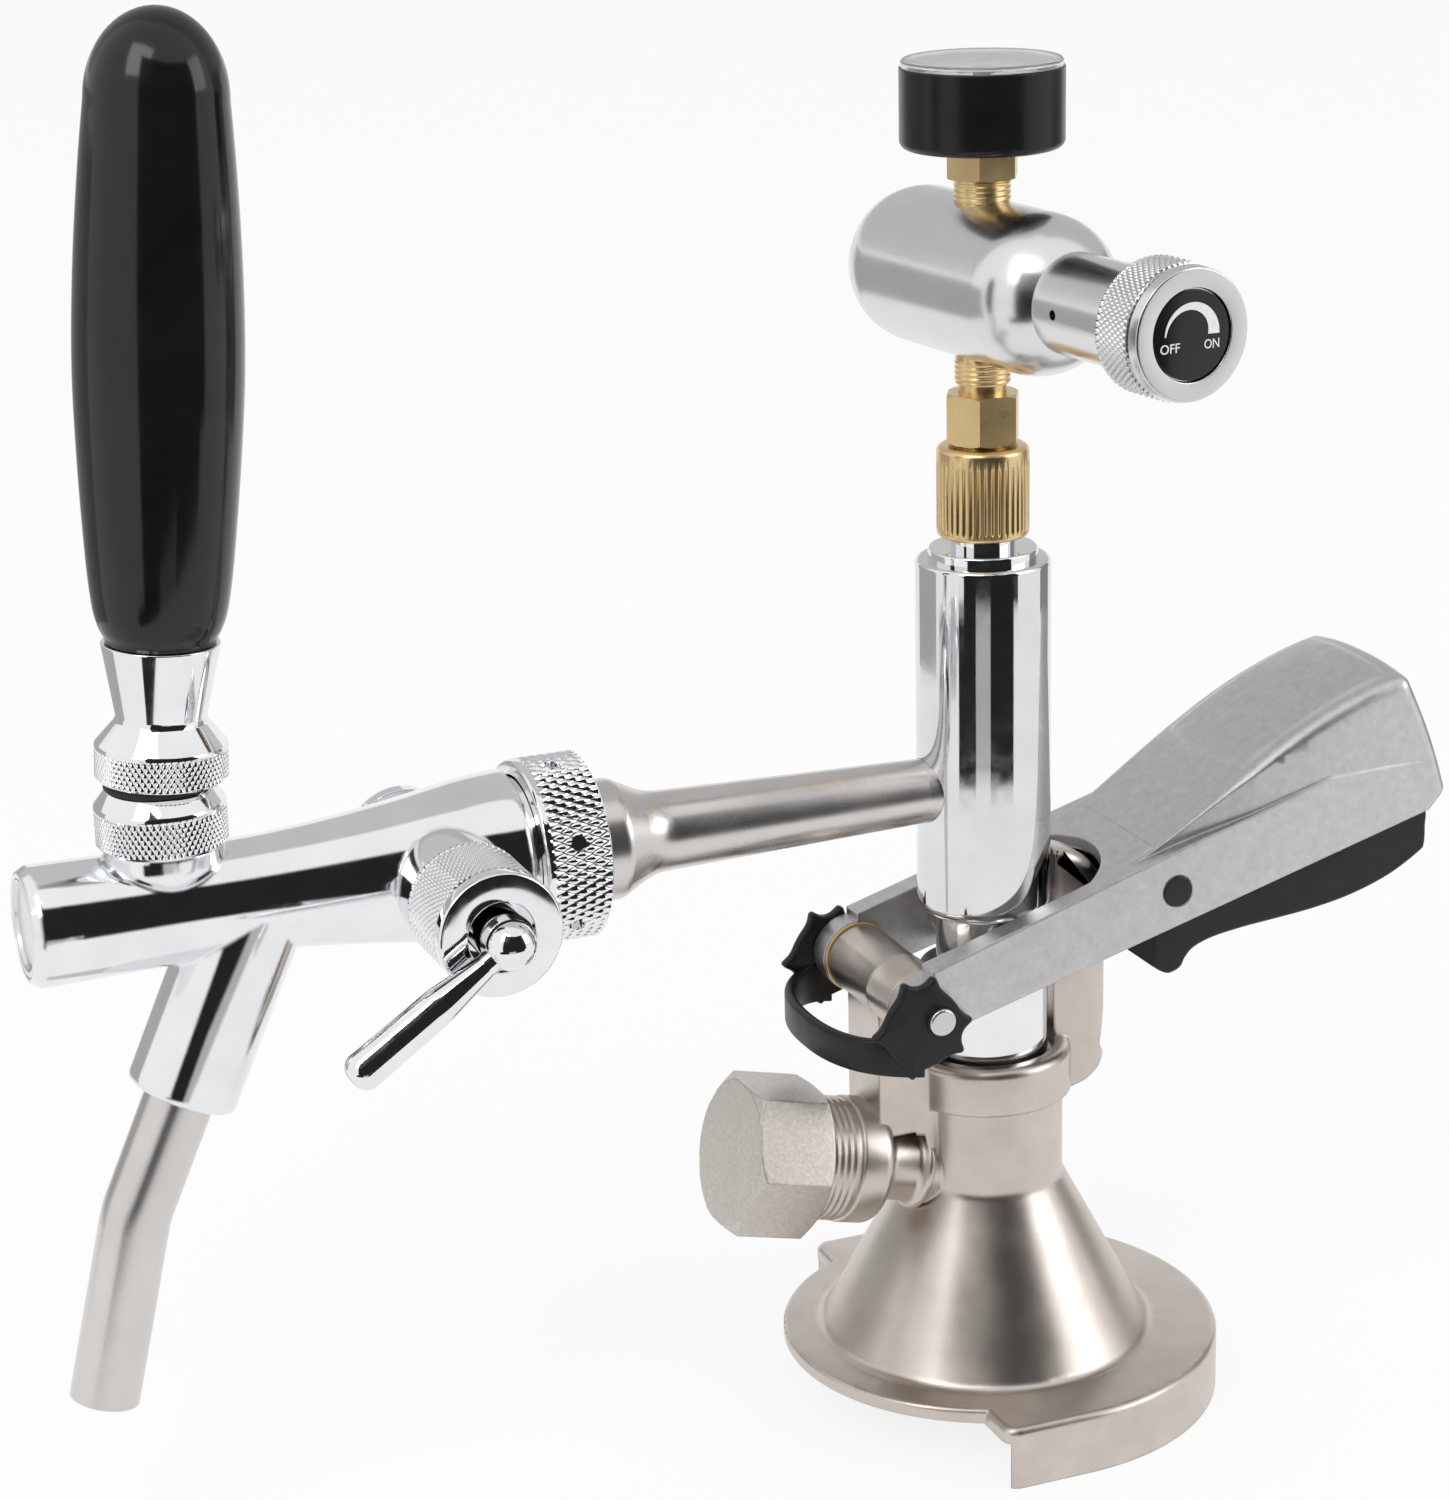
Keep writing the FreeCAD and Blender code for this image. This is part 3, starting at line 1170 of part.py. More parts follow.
def regulator_body():
    far = capsule_far_s - capsule_r
    near_dome = math.sqrt(capsule_r ** 2 - capsule_neck_r ** 2)
    bend_far = (capsule_r * math.sqrt(0.5), capsule_far_s - capsule_r * math.sqrt(0.5))
    bend_near_angle = math.atan2(near_dome, capsule_neck_r) / 2
    bend_near = (capsule_r * math.cos(bend_near_angle),
                 capsule_near_s + capsule_r * math.sin(bend_near_angle))
    edges = [Part.Arc(V(0, 0, far), V(bend_far[0], 0, bend_far[1]), V(capsule_r, 0, capsule_far_s)).toShape(),
             Part.LineSegment(V(capsule_r, 0, capsule_far_s), V(capsule_r, 0, capsule_near_s)).toShape(),
             Part.Arc(V(capsule_r, 0, capsule_near_s), V(bend_near[0], 0, bend_near[1]),
                      V(capsule_neck_r, 0, capsule_near_s + near_dome)).toShape()]
    corners = [V(capsule_neck_r, 0, capsule_near_s + near_dome), V(capsule_neck_r, 0, capsule_neck_s),
               V(0, 0, capsule_neck_s), V(0, 0, far)]
    for start, end in zip(corners, corners[1:]):
        edges.append(Part.LineSegment(start, end).toShape())
    body = spun(Part.Wire(edges), regulator_origin, regulator_axis)
    face = -port_face_s
    seat = face + port_depth + port_relief_t
    ways = turned([(0, far - 5), (capsule_r, far - 5), (capsule_r, face), (port_r, face),
                   (port_r, face + port_depth),
                   (port_relief_r, face + port_depth), (port_relief_r, seat), (piercer_r + fit_gap, seat),
                   (piercer_r + fit_gap, seat + piercer_t), (1.2, seat + piercer_t), (1.2, chamber_low_s),
                   (spring_chamber_r, chamber_low_s),
                   (spring_chamber_r, capsule_neck_s + 1), (0, capsule_neck_s + 1)], regulator_origin,
                  regulator_axis)
    tail_port = rod(tail_thread_r + fit_gap, V(0, 0, regulator_z - capsule_r - 3), V(0, 0, tail_top_z + 0.1))
    gauge_port = rod(tail_thread_r + fit_gap, V(0, 0, gauge_thread_low_z - 0.1),
                     V(0, 0, regulator_z + capsule_r + 3))
    cross = rod(gas_way_r, V(0, 0, tail_top_z), V(0, 0, gauge_thread_low_z))
    side = V(0, 0, 1).cross(regulator_axis) * -1
    vent = at(regulator_origin, regulator_axis, vent_s)
    vent_hole = rod(vent_r, vent, at(vent, side, capsule_r))
    return body.cut([ways, tail_port, gauge_port, cross, vent_hole]).removeSplitter()


def piercing_pin():
    low = port_depth + port_relief_t - port_face_s
    point = low - port_relief_t + piercer_setback
    return turned([(0, point), (0.9, point + 2.4), (0.9, low + fit_gap), (piercer_r, low + fit_gap),
                   (piercer_r, low + piercer_t - fit_gap), (0, low + piercer_t - fit_gap)],
                  regulator_origin, regulator_axis)


def pressure_piston():
    return turned([(0, piston_low_s), (spring_chamber_r - free_gap, piston_low_s, 0.4),
                   (spring_chamber_r - free_gap, piston_low_s + piston_t, 0.4), (3, piston_low_s + piston_t),
                   (3, piston_low_s + piston_t + 2), (0, piston_low_s + piston_t + 2)], regulator_origin,
                  regulator_axis)


def pressure_spring():
    low = piston_low_s + piston_t + spring_coil_wire_r + fit_gap
    high = spring_seat_s - spring_coil_wire_r - fit_gap
    turns = coil(spring_coil_r, spring_coil_wire_r, spring_coil_turns, high - low)
    return placed(turns, at(regulator_origin, regulator_axis, low), regulator_axis)


def spring_seat():
    return turned([(0, spring_seat_s), (spring_chamber_r - free_gap, spring_seat_s),
                   (spring_chamber_r - free_gap, spring_seat_s + spring_seat_t, 0.5),
                   (0, spring_seat_s + spring_seat_t)], regulator_origin, regulator_axis)


def regulator_knob():
    skirt = capsule_neck_r + free_gap
    tip = spring_seat_s + spring_seat_t + free_gap
    return turned([(skirt, knob_low_s), (knob_r, knob_low_s, 0.8), (knob_r, knob_knurl_s, 0.4),
                   (knob_face_r, knob_face_s, 0.5),
                   (knob_dial_r + 0.3, knob_face_s), (knob_dial_r + 0.1, knob_face_s - knob_dial_t),
                   (0, knob_face_s - knob_dial_t), (0, tip), (knob_screw_r - 0.8, tip),
                   (knob_screw_r, tip + 1),
                   (knob_screw_r, knob_wall_s), (skirt, knob_wall_s)], regulator_origin, regulator_axis)


def knob_dial():
    low = knob_face_s - knob_dial_t
    return turned([(0, low), (knob_dial_r, low), (knob_dial_r, knob_face_s - 0.15, 0.2),
                   (0, knob_face_s - 0.15)],
                  regulator_origin, regulator_axis)


def gauge_stem():
    stem = turned([(gas_way_r, gauge_thread_low_z), (tail_thread_r, gauge_thread_low_z, 0.3),
                   (tail_thread_r, gauge_hex_low_z + 1),
                   (tail_thread_r, gauge_hex_high_z - 1), (3.4, gauge_hex_high_z - 1),
                   (3.4, gauge_hex_high_z + 3),
                   (gas_way_r, gauge_hex_high_z + 3)])
    bar = hexagon(gauge_hex_flats, gauge_hex_high_z - gauge_hex_low_z, V(0, 0, gauge_hex_low_z), UP, 0.6)
    way = rod(gas_way_r, V(0, 0, gauge_hex_low_z - 1), V(0, 0, gauge_hex_high_z + 1))
    return stem.fuse(bar).cut(way)


def gauge_case():
    floor = gauge_hex_high_z + gauge_wall + 0.4
    return turned([(3.4 + fit_gap, gauge_hex_high_z), (gauge_r, gauge_hex_high_z, 1.6),
                   (gauge_r, gauge_case_high_z, 0.3),
                   (gauge_r - gauge_wall, gauge_case_high_z), (gauge_r - gauge_wall, floor),
                   (3.4 + fit_gap, floor)])


def gauge_movement():
    floor = gauge_hex_high_z + gauge_wall + 0.4 + 1.6
    centre_z = (floor + gauge_dial_z) / 2
    pillar = turned([(0, gauge_hex_high_z + 3.05), (3.0, gauge_hex_high_z + 3.05), (3.0, gauge_dial_z - 3),
                     (2.2, gauge_dial_z - 3),
                     (2.2, gauge_dial_z), (0, gauge_dial_z)])
    tube = Part.makeTorus(gauge_tube_bend_r, gauge_tube_r, V(0, 0, centre_z), UP, -180, 180, 250)
    bridge = box((0, -1.2, centre_z - 1.0), (gauge_tube_bend_r, 1.2, centre_z + 1.0))
    return pillar.fuse([tube, bridge])


def gauge_dial():
    return turned([(0.9, gauge_dial_z), (gauge_r - gauge_wall - fit_gap, gauge_dial_z),
                   (gauge_r - gauge_wall - fit_gap, gauge_dial_z + gauge_dial_t),
                   (0.9, gauge_dial_z + gauge_dial_t)])


def gauge_needle():
    low = gauge_dial_z + gauge_dial_t + free_gap
    angle = math.radians(needle_start)
    tip = (needle_length * math.cos(angle), needle_length * math.sin(angle))
    side = (-math.sin(angle), math.cos(angle))
    tail = (-4 * math.cos(angle), -4 * math.sin(angle))
    blade = plan([(tail[0] + side[0], tail[1] + side[1]), (tail[0] - side[0], tail[1] - side[1]),
                  (tip[0] - side[0] * 0.2, tip[1] - side[1] * 0.2),
                  (tip[0] + side[0] * 0.2, tip[1] + side[1] * 0.2)],
                 low, low + 0.3)
    hub = rod(1.6, V(0, 0, low), V(0, 0, low + 0.9))
    return blade.fuse(hub)


def gauge_lens():
    low = gauge_case_high_z
    top = gauge_top_z
    inner = gauge_r - gauge_wall - 0.6
    return turned([(inner, low), (gauge_lens_r, low), (gauge_lens_r, top, 0.5), (0, top),
                   (0, top - gauge_lens_t),
                   (inner, top - gauge_lens_t)])


PIECES = (coupler_body, keg_seal, check_valve, inlet_washer, inlet_cap, hinge_pin, pin_clip, lever_casting,
          pivot_bushes,
          drive_rollers, trigger_pin, trigger, trigger_spring, probe_body, probe_tip_seal, probe_rings,
          column_sleeve,
          column_head, gas_tube, head_washer, shank, shank_gasket, coupling_collar, faucet_body, front_cap,
          bonnet,
          bonnet_ring, tap_lever, handle_ferrule, handle_insert, handle_grip, spout_tube, valve_shaft,
          valve_seal,
          flow_gland, gland_ring, flow_spindle, flow_lever, spindle_plug, compensator_cone, union_nut,
          union_tail,
          regulator_body, piercing_pin, pressure_piston, pressure_spring, spring_seat, regulator_knob,
          knob_dial,
          gauge_stem, gauge_case, gauge_movement, gauge_dial, gauge_needle, gauge_lens)

os.makedirs("parts", exist_ok=True)
for piece in PIECES:
    shape = piece()
    name = piece.__name__
    volumes = [round(solid.Volume, 1) for solid in shape.Solids]
    print(name, "solids", volumes, "valid", shape.isValid())
    shape.exportStep("parts/" + name + ".step")
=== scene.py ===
"""Keg party pump: its looks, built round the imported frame.

Sizes of pieces are written in millimetres, in the frame of the record, and become metres where a mesh
is made. The stage is written in metres. The probe's axis is Z, the faucet points to -X, and the flow
lever and the knob are on the -Y side.
"""
import math
from contextlib import contextmanager

import bmesh
import bpy
import numpy as np
from mathutils import Matrix, Vector


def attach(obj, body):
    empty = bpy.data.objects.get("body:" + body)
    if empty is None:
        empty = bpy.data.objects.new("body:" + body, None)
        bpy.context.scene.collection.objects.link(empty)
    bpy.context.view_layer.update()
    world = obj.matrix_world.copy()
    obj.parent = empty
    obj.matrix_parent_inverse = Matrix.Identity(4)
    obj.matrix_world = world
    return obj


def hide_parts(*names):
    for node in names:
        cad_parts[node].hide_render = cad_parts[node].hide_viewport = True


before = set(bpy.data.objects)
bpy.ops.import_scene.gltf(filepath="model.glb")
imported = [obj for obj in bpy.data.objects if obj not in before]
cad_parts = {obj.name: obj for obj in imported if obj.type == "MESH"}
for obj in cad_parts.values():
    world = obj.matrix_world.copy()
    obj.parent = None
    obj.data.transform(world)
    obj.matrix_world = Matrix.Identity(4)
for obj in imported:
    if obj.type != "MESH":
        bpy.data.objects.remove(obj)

MM = 0.001
UP = Vector((0, 0, 1))
TURN = 2 * math.pi
WELD_M = 1e-6
SLICE_M = 1e-7
ON_AXIS = 1e-6
THREAD_SEGMENTS = 96
PRINT_THICK = 0.06
# The part of a noise factor's range that colour and roughness follow
NOISE_LOW, NOISE_HIGH = 0.3, 0.7
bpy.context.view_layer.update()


# Materials

class Finish:
    """A procedural material, built up node by node."""

    def __init__(self, name, color, metallic, roughness, **sockets):
        self.material = bpy.data.materials.new(name)
        self.material.use_nodes = True
        self.tree = self.material.node_tree
        self.shader = self.tree.nodes["Principled BSDF"]
        self.shader.inputs["Base Color"].default_value = (*color, 1)
        self.shader.inputs["Metallic"].default_value = metallic
        self.shader.inputs["Roughness"].default_value = roughness
        for socket, value in sockets.items():
            self.shader.inputs[socket.replace("_", " ")].default_value = value
        self.normal = None

    def node(self, kind, **inputs):
        made = self.tree.nodes.new(kind)
        for socket, value in inputs.items():
            self.wire(value, made.inputs[socket.replace("_", " ")])
        return made

    def wire(self, value, socket):
        if isinstance(value, bpy.types.NodeSocket):
            self.tree.links.new(value, socket)
        else:
            socket.default_value = value

    def noise(self, size_mm, detail, stretch=(1, 1, 1), rough=0.5):
        """Noise whose grains are about that size; stretch lengthens them along an axis."""
        place = self.node("ShaderNodeTexCoord").outputs["Object"]
        scale = tuple(1 / (size_mm * MM * s) for s in stretch)
        mapped = self.node("ShaderNodeMapping", Vector=place, Scale=scale)
        grain = self.node("ShaderNodeTexNoise", Vector=mapped.outputs["Vector"], Scale=1.0, Detail=detail,
                          Roughness=rough)
        return grain.outputs["Fac"]

    def tint(self, factor, dark, light):
        """Base colour from a noise factor, between two colours."""
        ramp = self.node("ShaderNodeValToRGB", Fac=factor)
        first, last = ramp.color_ramp.elements
        first.position, first.color = NOISE_LOW, (*dark, 1)
        last.position, last.color = NOISE_HIGH, (*light, 1)
        self.wire(ramp.outputs["Color"], self.shader.inputs["Base Color"])

    def rough(self, factor, low, high):
        """Roughness from a noise factor, between two values."""
        mapped = self.node("ShaderNodeMapRange")
        for value, socket in zip((factor, NOISE_LOW, NOISE_HIGH, low, high), mapped.inputs):
            self.wire(value, socket)
        self.wire(mapped.outputs[0], self.shader.inputs["Roughness"])

    def soft(self, radius_mm):
        """Edges and inner corners shade as if rounded by that radius; called before bump."""
        made = self.node("ShaderNodeBevel", Radius=radius_mm * MM)
        made.samples = 6
        self.normal = made.outputs["Normal"]
        self.wire(self.normal, self.shader.inputs["Normal"])

    def bump(self, factor, depth_mm, strength):
        """Adds relief of that depth; several calls stack."""
        made = self.node("ShaderNodeBump", Height=factor, Strength=strength, Distance=depth_mm * MM)
        if self.normal is not None:
            self.wire(self.normal, made.inputs["Normal"])
        self.normal = made.outputs["Normal"]
        self.wire(self.normal, self.shader.inputs["Normal"])


def chrome(name="chrome", edge_mm=0.0, color=(0.80, 0.81, 0.825)):
    made = Finish(name, color, 1.0, 0.05)
    if edge_mm:
        made.soft(edge_mm)
    made.tint(made.noise(9, 4), tuple(c * 0.965 for c in color), tuple(c * 1.045 for c in color))
    made.rough(made.noise(3, 5), 0.035, 0.09)
    made.bump(made.noise(14, 1), 0.05, 0.5)
    return made.material


def satin_chrome():
    made = Finish("satin_chrome", (0.72, 0.72, 0.725), 1.0, 0.21)
    made.tint(made.noise(14, 2), (0.70, 0.70, 0.705), (0.74, 0.74, 0.745))
    made.rough(made.noise(9, 2), 0.19, 0.23)
    made.bump(made.noise(0.5, 2), 0.0015, 0.3)
    return made.material


def stainless():
    made = Finish("stainless", (0.65, 0.625, 0.61), 1.0, 0.27)
    made.tint(made.noise(14, 2), (0.62, 0.595, 0.58), (0.68, 0.655, 0.64))
    made.rough(made.noise(9, 2), 0.25, 0.29)
    made.bump(made.noise(0.4, 2, (8, 1, 1)), 0.0012, 0.3)
    return made.material


def cast_nickel():
    made = Finish("cast_nickel", (0.60, 0.545, 0.50), 1.0, 0.32)
    made.soft(0.8)
    made.tint(made.noise(7, 5, rough=0.6), (0.565, 0.51, 0.465), (0.635, 0.58, 0.535))
    made.rough(made.noise(8, 3), 0.29, 0.34)
    made.bump(made.noise(0.7, 3), 0.004, 0.3)
    made.bump(made.noise(6, 2), 0.04, 0.2)
    return made.material


def cast_aluminium():
    made = Finish("cast_aluminium", (0.60, 0.59, 0.595), 1.0, 0.4)
    made.soft(0.7)
    made.tint(made.noise(2.2, 6, rough=0.7), (0.54, 0.53, 0.535), (0.66, 0.65, 0.655))
    made.rough(made.noise(5, 3), 0.35, 0.42)
    made.bump(made.noise(0.7, 4), 0.02, 0.45)
    made.bump(made.noise(7, 2), 0.05, 0.2)
    return made.material


def rough_nickel():
    """The hex cap's sand-textured faces."""
    made = Finish("rough_nickel", (0.58, 0.535, 0.50), 1.0, 0.36)
    made.soft(0.5)
    grain = made.noise(0.8, 4, rough=0.55)
    made.tint(grain, (0.52, 0.48, 0.445), (0.64, 0.595, 0.555))
    made.rough(made.noise(6, 2), 0.33, 0.38)
    made.bump(grain, 0.05, 0.45)
    return made.material


def brass():
    made = Finish("brass", (0.76, 0.56, 0.28), 1.0, 0.29)
    made.tint(made.noise(8, 3), (0.73, 0.53, 0.26), (0.79, 0.59, 0.31))
    made.rough(made.noise(6, 3), 0.26, 0.32)
    made.bump(made.noise(0.5, 2), 0.002, 0.3)
    return made.material


def gloss_black():
    made = Finish("gloss_black", (0.006, 0.006, 0.0065), 0.0, 0.12, IOR=1.5)
    made.shader.inputs["Specular IOR Level"].default_value = 0.4
    made.rough(made.noise(9, 3), 0.10, 0.15)
    made.tint(made.noise(8, 3), (0.005, 0.005, 0.0055), (0.008, 0.008, 0.0085))
    return made.material


def satin_black():
    made = Finish("satin_black", (0.007, 0.007, 0.0075), 0.0, 0.26, IOR=1.5)
    made.shader.inputs["Specular IOR Level"].default_value = 0.28
    made.rough(made.noise(9, 2), 0.24, 0.28)
    made.tint(made.noise(6, 3), (0.006, 0.006, 0.0065), (0.009, 0.009, 0.0095))
    made.bump(made.noise(0.5, 3), 0.004, 0.3)
    return made.material


def matte_black(name, color, low, high, grain_mm, edge_mm=0.0):
    made = Finish(name, color, 0.0, high)
    made.shader.inputs["Specular IOR Level"].default_value = 0.3
    if edge_mm:
        made.soft(edge_mm)
    made.tint(made.noise(4, 4), color, tuple(c * 1.5 for c in color))
    made.rough(made.noise(3, 4), low, high)
    made.bump(made.noise(grain_mm, 4), 0.02, 0.35)
    return made.material


def white_card():
    made = Finish("white_plastic", (0.86, 0.86, 0.84), 0.0, 0.45)
    made.tint(made.noise(4, 3), (0.84, 0.84, 0.82), (0.88, 0.88, 0.865))
    made.bump(made.noise(0.6, 2), 0.004, 0.3)
    return made.material


def print_white():
    """Thin white print on gloss black."""
    made = Finish("print_white", (0.72, 0.72, 0.73), 0.0, 0.35)
    made.tint(made.noise(0.6, 4), (0.66, 0.66, 0.67), (0.78, 0.78, 0.79))
    return made.material


def clear_plastic():
    made = Finish("clear", (0.96, 0.975, 0.98), 0.0, 0.03, Transmission_Weight=0.9, IOR=1.49)
    made.rough(made.noise(3, 3), 0.02, 0.06)
    return made.material


FINISHES = {
    "chrome": chrome(),
    "satin_chrome": satin_chrome(),
    "stainless": stainless(),
    "cast_nickel": cast_nickel(),
    "cast_aluminium": cast_aluminium(),
    "rough_nickel": rough_nickel(),
    "brass": brass(),
    "gloss_black": gloss_black(),
    "matte_black": matte_black("matte_black", (0.008, 0.008, 0.009), 0.34, 0.42, 0.6, 0.5),
    "black_pin": matte_black("black_pin", (0.012, 0.012, 0.013), 0.28, 0.42, 0.4),
    "rubber": matte_black("rubber", (0.016, 0.016, 0.016), 0.5, 0.7, 0.6, 0.3),
    "chrome_cast": chrome("chrome_cast", 1.1),
    # A darker copy of chrome for the column sleeve: painted shade, standing in for the darker reflections the
    # column shows
    "chrome_painted_shade": chrome("chrome_painted_shade", 0.0, (0.72, 0.725, 0.735)),
    "satin_black": satin_black(),
    "white_plastic": white_card(),
    "clear": clear_plastic(),
    "print_white": print_white(),
}
# Nodes that stay as packed
NODE_FINISHES = {
    "chrome": ("probe_body", "column_head", "flow_lever", "spindle_plug"),
    "chrome_cast": ("faucet_body",),
    # The column sleeve takes the darkened copy of chrome, which is painted shade
    "chrome_painted_shade": ("column_sleeve",),
    "satin_chrome": ("front_cap", "regulator_body"),
    "stainless": ("hinge_pin", "drive_rollers", "trigger_spring", "gas_tube", "shank", "tap_lever",
                  "spout_tube", "flow_spindle", "pressure_spring"),
    "rough_nickel": ("inlet_cap",),
    "brass": ("handle_insert", "valve_shaft", "union_tail", "piercing_pin", "pressure_piston", "spring_seat",
              "gauge_stem", "gauge_movement"),
    "black_pin": ("trigger_pin", "gauge_needle"),
    "satin_black": ("gauge_case",),
    # bonnet_ring, a black rubber ring in the gap between bonnet and ferrule, is partly painted shade: it also
    # stands for the neck's shadow and dark reflection there
    "rubber": ("keg_seal", "check_valve", "inlet_washer", "probe_tip_seal", "probe_rings", "shank_gasket",
               "bonnet_ring", "valve_seal", "gland_ring"),
    "white_plastic": ("head_washer", "compensator_cone", "gauge_dial"),
    "clear": ("gauge_lens",),
}

for finish, nodes in NODE_FINISHES.items():
    for node in nodes:
        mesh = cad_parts[node].data
        mesh.materials.clear()
        mesh.materials.append(FINISHES[finish])


# Meshes

@contextmanager
def opened(mesh, source=None):
    """The mesh as a bmesh, read from the source if there is one, and written back at the end."""
    work = bmesh.new()
    work.from_mesh(source or mesh)
    yield work
    work.to_mesh(mesh)
    work.free()


def linked(name, data):
    """A new object in the scene."""
    made = bpy.data.objects.new(name, data)
    bpy.context.scene.collection.objects.link(made)
    return made


def mesh_of(name, points, faces):
    """A mesh from points in millimetres."""
    mesh = bpy.data.meshes.new(name)
    mesh.from_pydata([tuple(c * MM for c in p) for p in points], [], faces)
    return mesh


def piece(name, points, faces, finish, body, smooth_deg, replaced=()):
    """A mesh object from points in millimetres, riding on a body, with its finish."""
    mesh = mesh_of(name, points, faces)
    mesh.validate()
    return dress(linked(name, mesh), finish, body, smooth_deg, replaced)


def dress(made, finish, body, smooth_deg, replaced=()):
    """Gives a piece its normals, smooth shading below an angle, finish and body."""
    limit = math.radians(smooth_deg)
    with opened(made.data) as work:
        bmesh.ops.recalc_face_normals(work, faces=work.faces)
        for face in work.faces:
            face.smooth = True
        for edge in work.edges:
            edge.smooth = edge.is_manifold and edge.calc_face_angle(0) < limit
    made.data.materials.clear()
    made.data.materials.append(FINISHES[finish])
    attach(made, body)
    if replaced:
        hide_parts(*replaced)
    return made


def axis_frame(origin, direction):
    """Matrix that carries the Z axis to the direction, at the origin."""
    return Matrix.Translation(Vector(origin)) @ UP.rotation_difference(Vector(direction)).to_matrix().to_4x4()


def around(degrees):
    """Cosine and sine of an angle in degrees."""
    turn = math.radians(degrees)
    return math.cos(turn), math.sin(turn)


def clamp(value):
    return min(1.0, max(0.0, value))


def ease(value, start, end):
    """0 before start, 1 after end, and smooth between them."""
    share = clamp((value - start) / (end - start))
    return share * share * (3 - 2 * share)


def rounded(points):
    """(radius, height) points; a third number on a point rounds that corner with short runs."""
    path = []
    for i, point in enumerate(points):
        here = Vector(point[:2])
        if len(point) < 3 or i in (0, len(points) - 1):
            path.append(tuple(here))
            continue
        back = Vector(points[i - 1][:2]) - here
        ahead = Vector(points[i + 1][:2]) - here
        half = back.angle(ahead) / 2
        reach = min(point[2] / math.tan(half), back.length * 0.49, ahead.length * 0.49)
        radius = reach * math.tan(half)
        middle = here + (back.normalized() + ahead.normalized()).normalized() * (radius / math.sin(half))
        start = here + back.normalized() * reach - middle
        end = here + ahead.normalized() * reach - middle
        sweep = start.angle_signed(end)
        steps = max(3, int(abs(sweep) / math.radians(9)))
        for k in range(steps + 1):
            turn = Matrix.Rotation(-sweep * k / steps, 2)
            path.append(tuple(middle + turn @ start))
    return path


def turned(profile, segments, matrix, shape=None, split=None):
    """Points and faces of a turned form. A profile point is (radius, height), both in millimetres.

    shape(row, k, radius, height) may change a point's radius. split(row, k) may cut a quad in two: 1 from its
    second corner to its last, -1 across the other way, 0 not at all. The ends close on the axis, or the
    profile closes on itself where its ends aren't on the axis.
    """
    points = []
    rings = []
    for row, (radius, height) in enumerate(profile):
        if radius < ON_AXIS:
            rings.append([len(points)])
            points.append(matrix @ Vector((0, 0, height)))
            continue
        rings.append(range(len(points), len(points) + segments))
        for k in range(segments):
            r = shape(row, k, radius, height) if shape else radius
            angle = TURN * k / segments
            points.append(matrix @ Vector((r * math.cos(angle), r * math.sin(angle), height)))
    faces = []
    closed = len(rings[0]) > 1 and len(rings[-1]) > 1
    for row in range(len(rings) if closed else len(rings) - 1):
        low, high = rings[row], rings[(row + 1) % len(rings)]
        for k in range(segments):
            n = (k + 1) % segments
            cut = split(row, k) if split else 0
            if len(low) == 1:
                faces.append((low[0], high[k], high[n]))
            elif len(high) == 1:
                faces.append((low[k], high[0], low[n]))
            elif cut == 0:
                faces.append((low[k], low[n], high[n], high[k]))
            elif cut > 0:
                faces += [(low[k], low[n], high[k]), (low[n], high[n], high[k])]
            else:
                faces += [(low[k], low[n], high[n]), (low[k], high[n], high[k])]
    return points, faces


def lathe(name, profile, origin, direction, finish, body, replaced=(), segments=144, smooth_deg=32.0):
    """A turned form round an axis."""
    points, faces = turned(rounded(profile), segments, axis_frame(origin, direction))
    return piece(name, points, faces, finish, body, smooth_deg, replaced)


def knurled(name, before, band, after, origin, direction, finish, body, replaced=(), teeth=64, depth=0.3):
    """A turned form with a diamond-knurled band between two plain runs.

    band is (radius, low height, high height, half pitches along the axis). A diamond stands on every other
    point of the half-pitch lattice, rounded on top. Each half pitch has two steps, and each quad splits along
    the grooves, so these stay sharp.
    """
    radius, low, high, halves = band
    rows = halves * 2
    profile = rounded(list(before) + [(radius, low)])[:-1]
    first = len(profile)
    profile += [(radius, low + (high - low) * j / rows) for j in range(rows + 1)]
    profile += rounded([(radius, high)] + list(after))[1:]

    def shape(row, k, r, h):
        if first <= row <= first + rows:
            gaps = [abs((k / 2 + sign * (row - first) / 2) % 2.0 - 1.0) for sign in (1, -1)]
            r -= depth * (1.0 - min(gaps)) ** 2
        return r

    def split(row, k):
        if not first <= row < first + rows:
            return 0
        return 1 if (k // 2 + (row - first) // 2) % 2 == 0 else -1

    points, faces = turned(profile, teeth * 4, axis_frame(origin, direction), shape, split)
    return piece(name, points, faces, finish, body, 50.0, replaced)


def fluted(name, profile, band, origin, direction, finish, body, replaced=(), teeth=40, depth=0.4):
    """A turned form whose outer band has straight grooves between two heights."""
    radius, low, high = band
    steps = 8

    def shape(row, k, r, h):
        if low + 0.01 < h < high - 0.01 and r > radius - 1.2:
            wave = abs((k / steps) % 1.0 - 0.5) * 2
            r -= depth * max(0.0, 1.0 - 2.2 * wave)
        return r

    points, faces = turned(rounded(profile), teeth * steps, axis_frame(origin, direction), shape)
    return piece(name, points, faces, finish, body, 40.0, replaced)


def thread(name, crest, root, core, low, high, pitch, origin, direction, finish, body):
    """A closed sleeve with a screw thread outside and a plain bore. The thread runs out at both ends."""
    steps = round((high - low) / pitch * 10)
    wall = [(root, low + (high - low) * j / steps) for j in range(steps + 1)]

    def shape(row, k, r, h):
        if r > core:
            turn = abs((h / pitch - k / THREAD_SEGMENTS) % 1.0 - 0.5) * 2
            fade = min(1.0, (h - low) / pitch * 1.6, (high - h) / pitch * 1.6)
            r += (crest - root) * fade * clamp(turn * 1.5 - 0.25)
        return r

    profile = [(core, low)] + wall + [(core, high)]
    points, faces = turned(profile, THREAD_SEGMENTS, axis_frame(origin, direction), shape)
    return piece(name, points, faces, finish, body, 60.0)


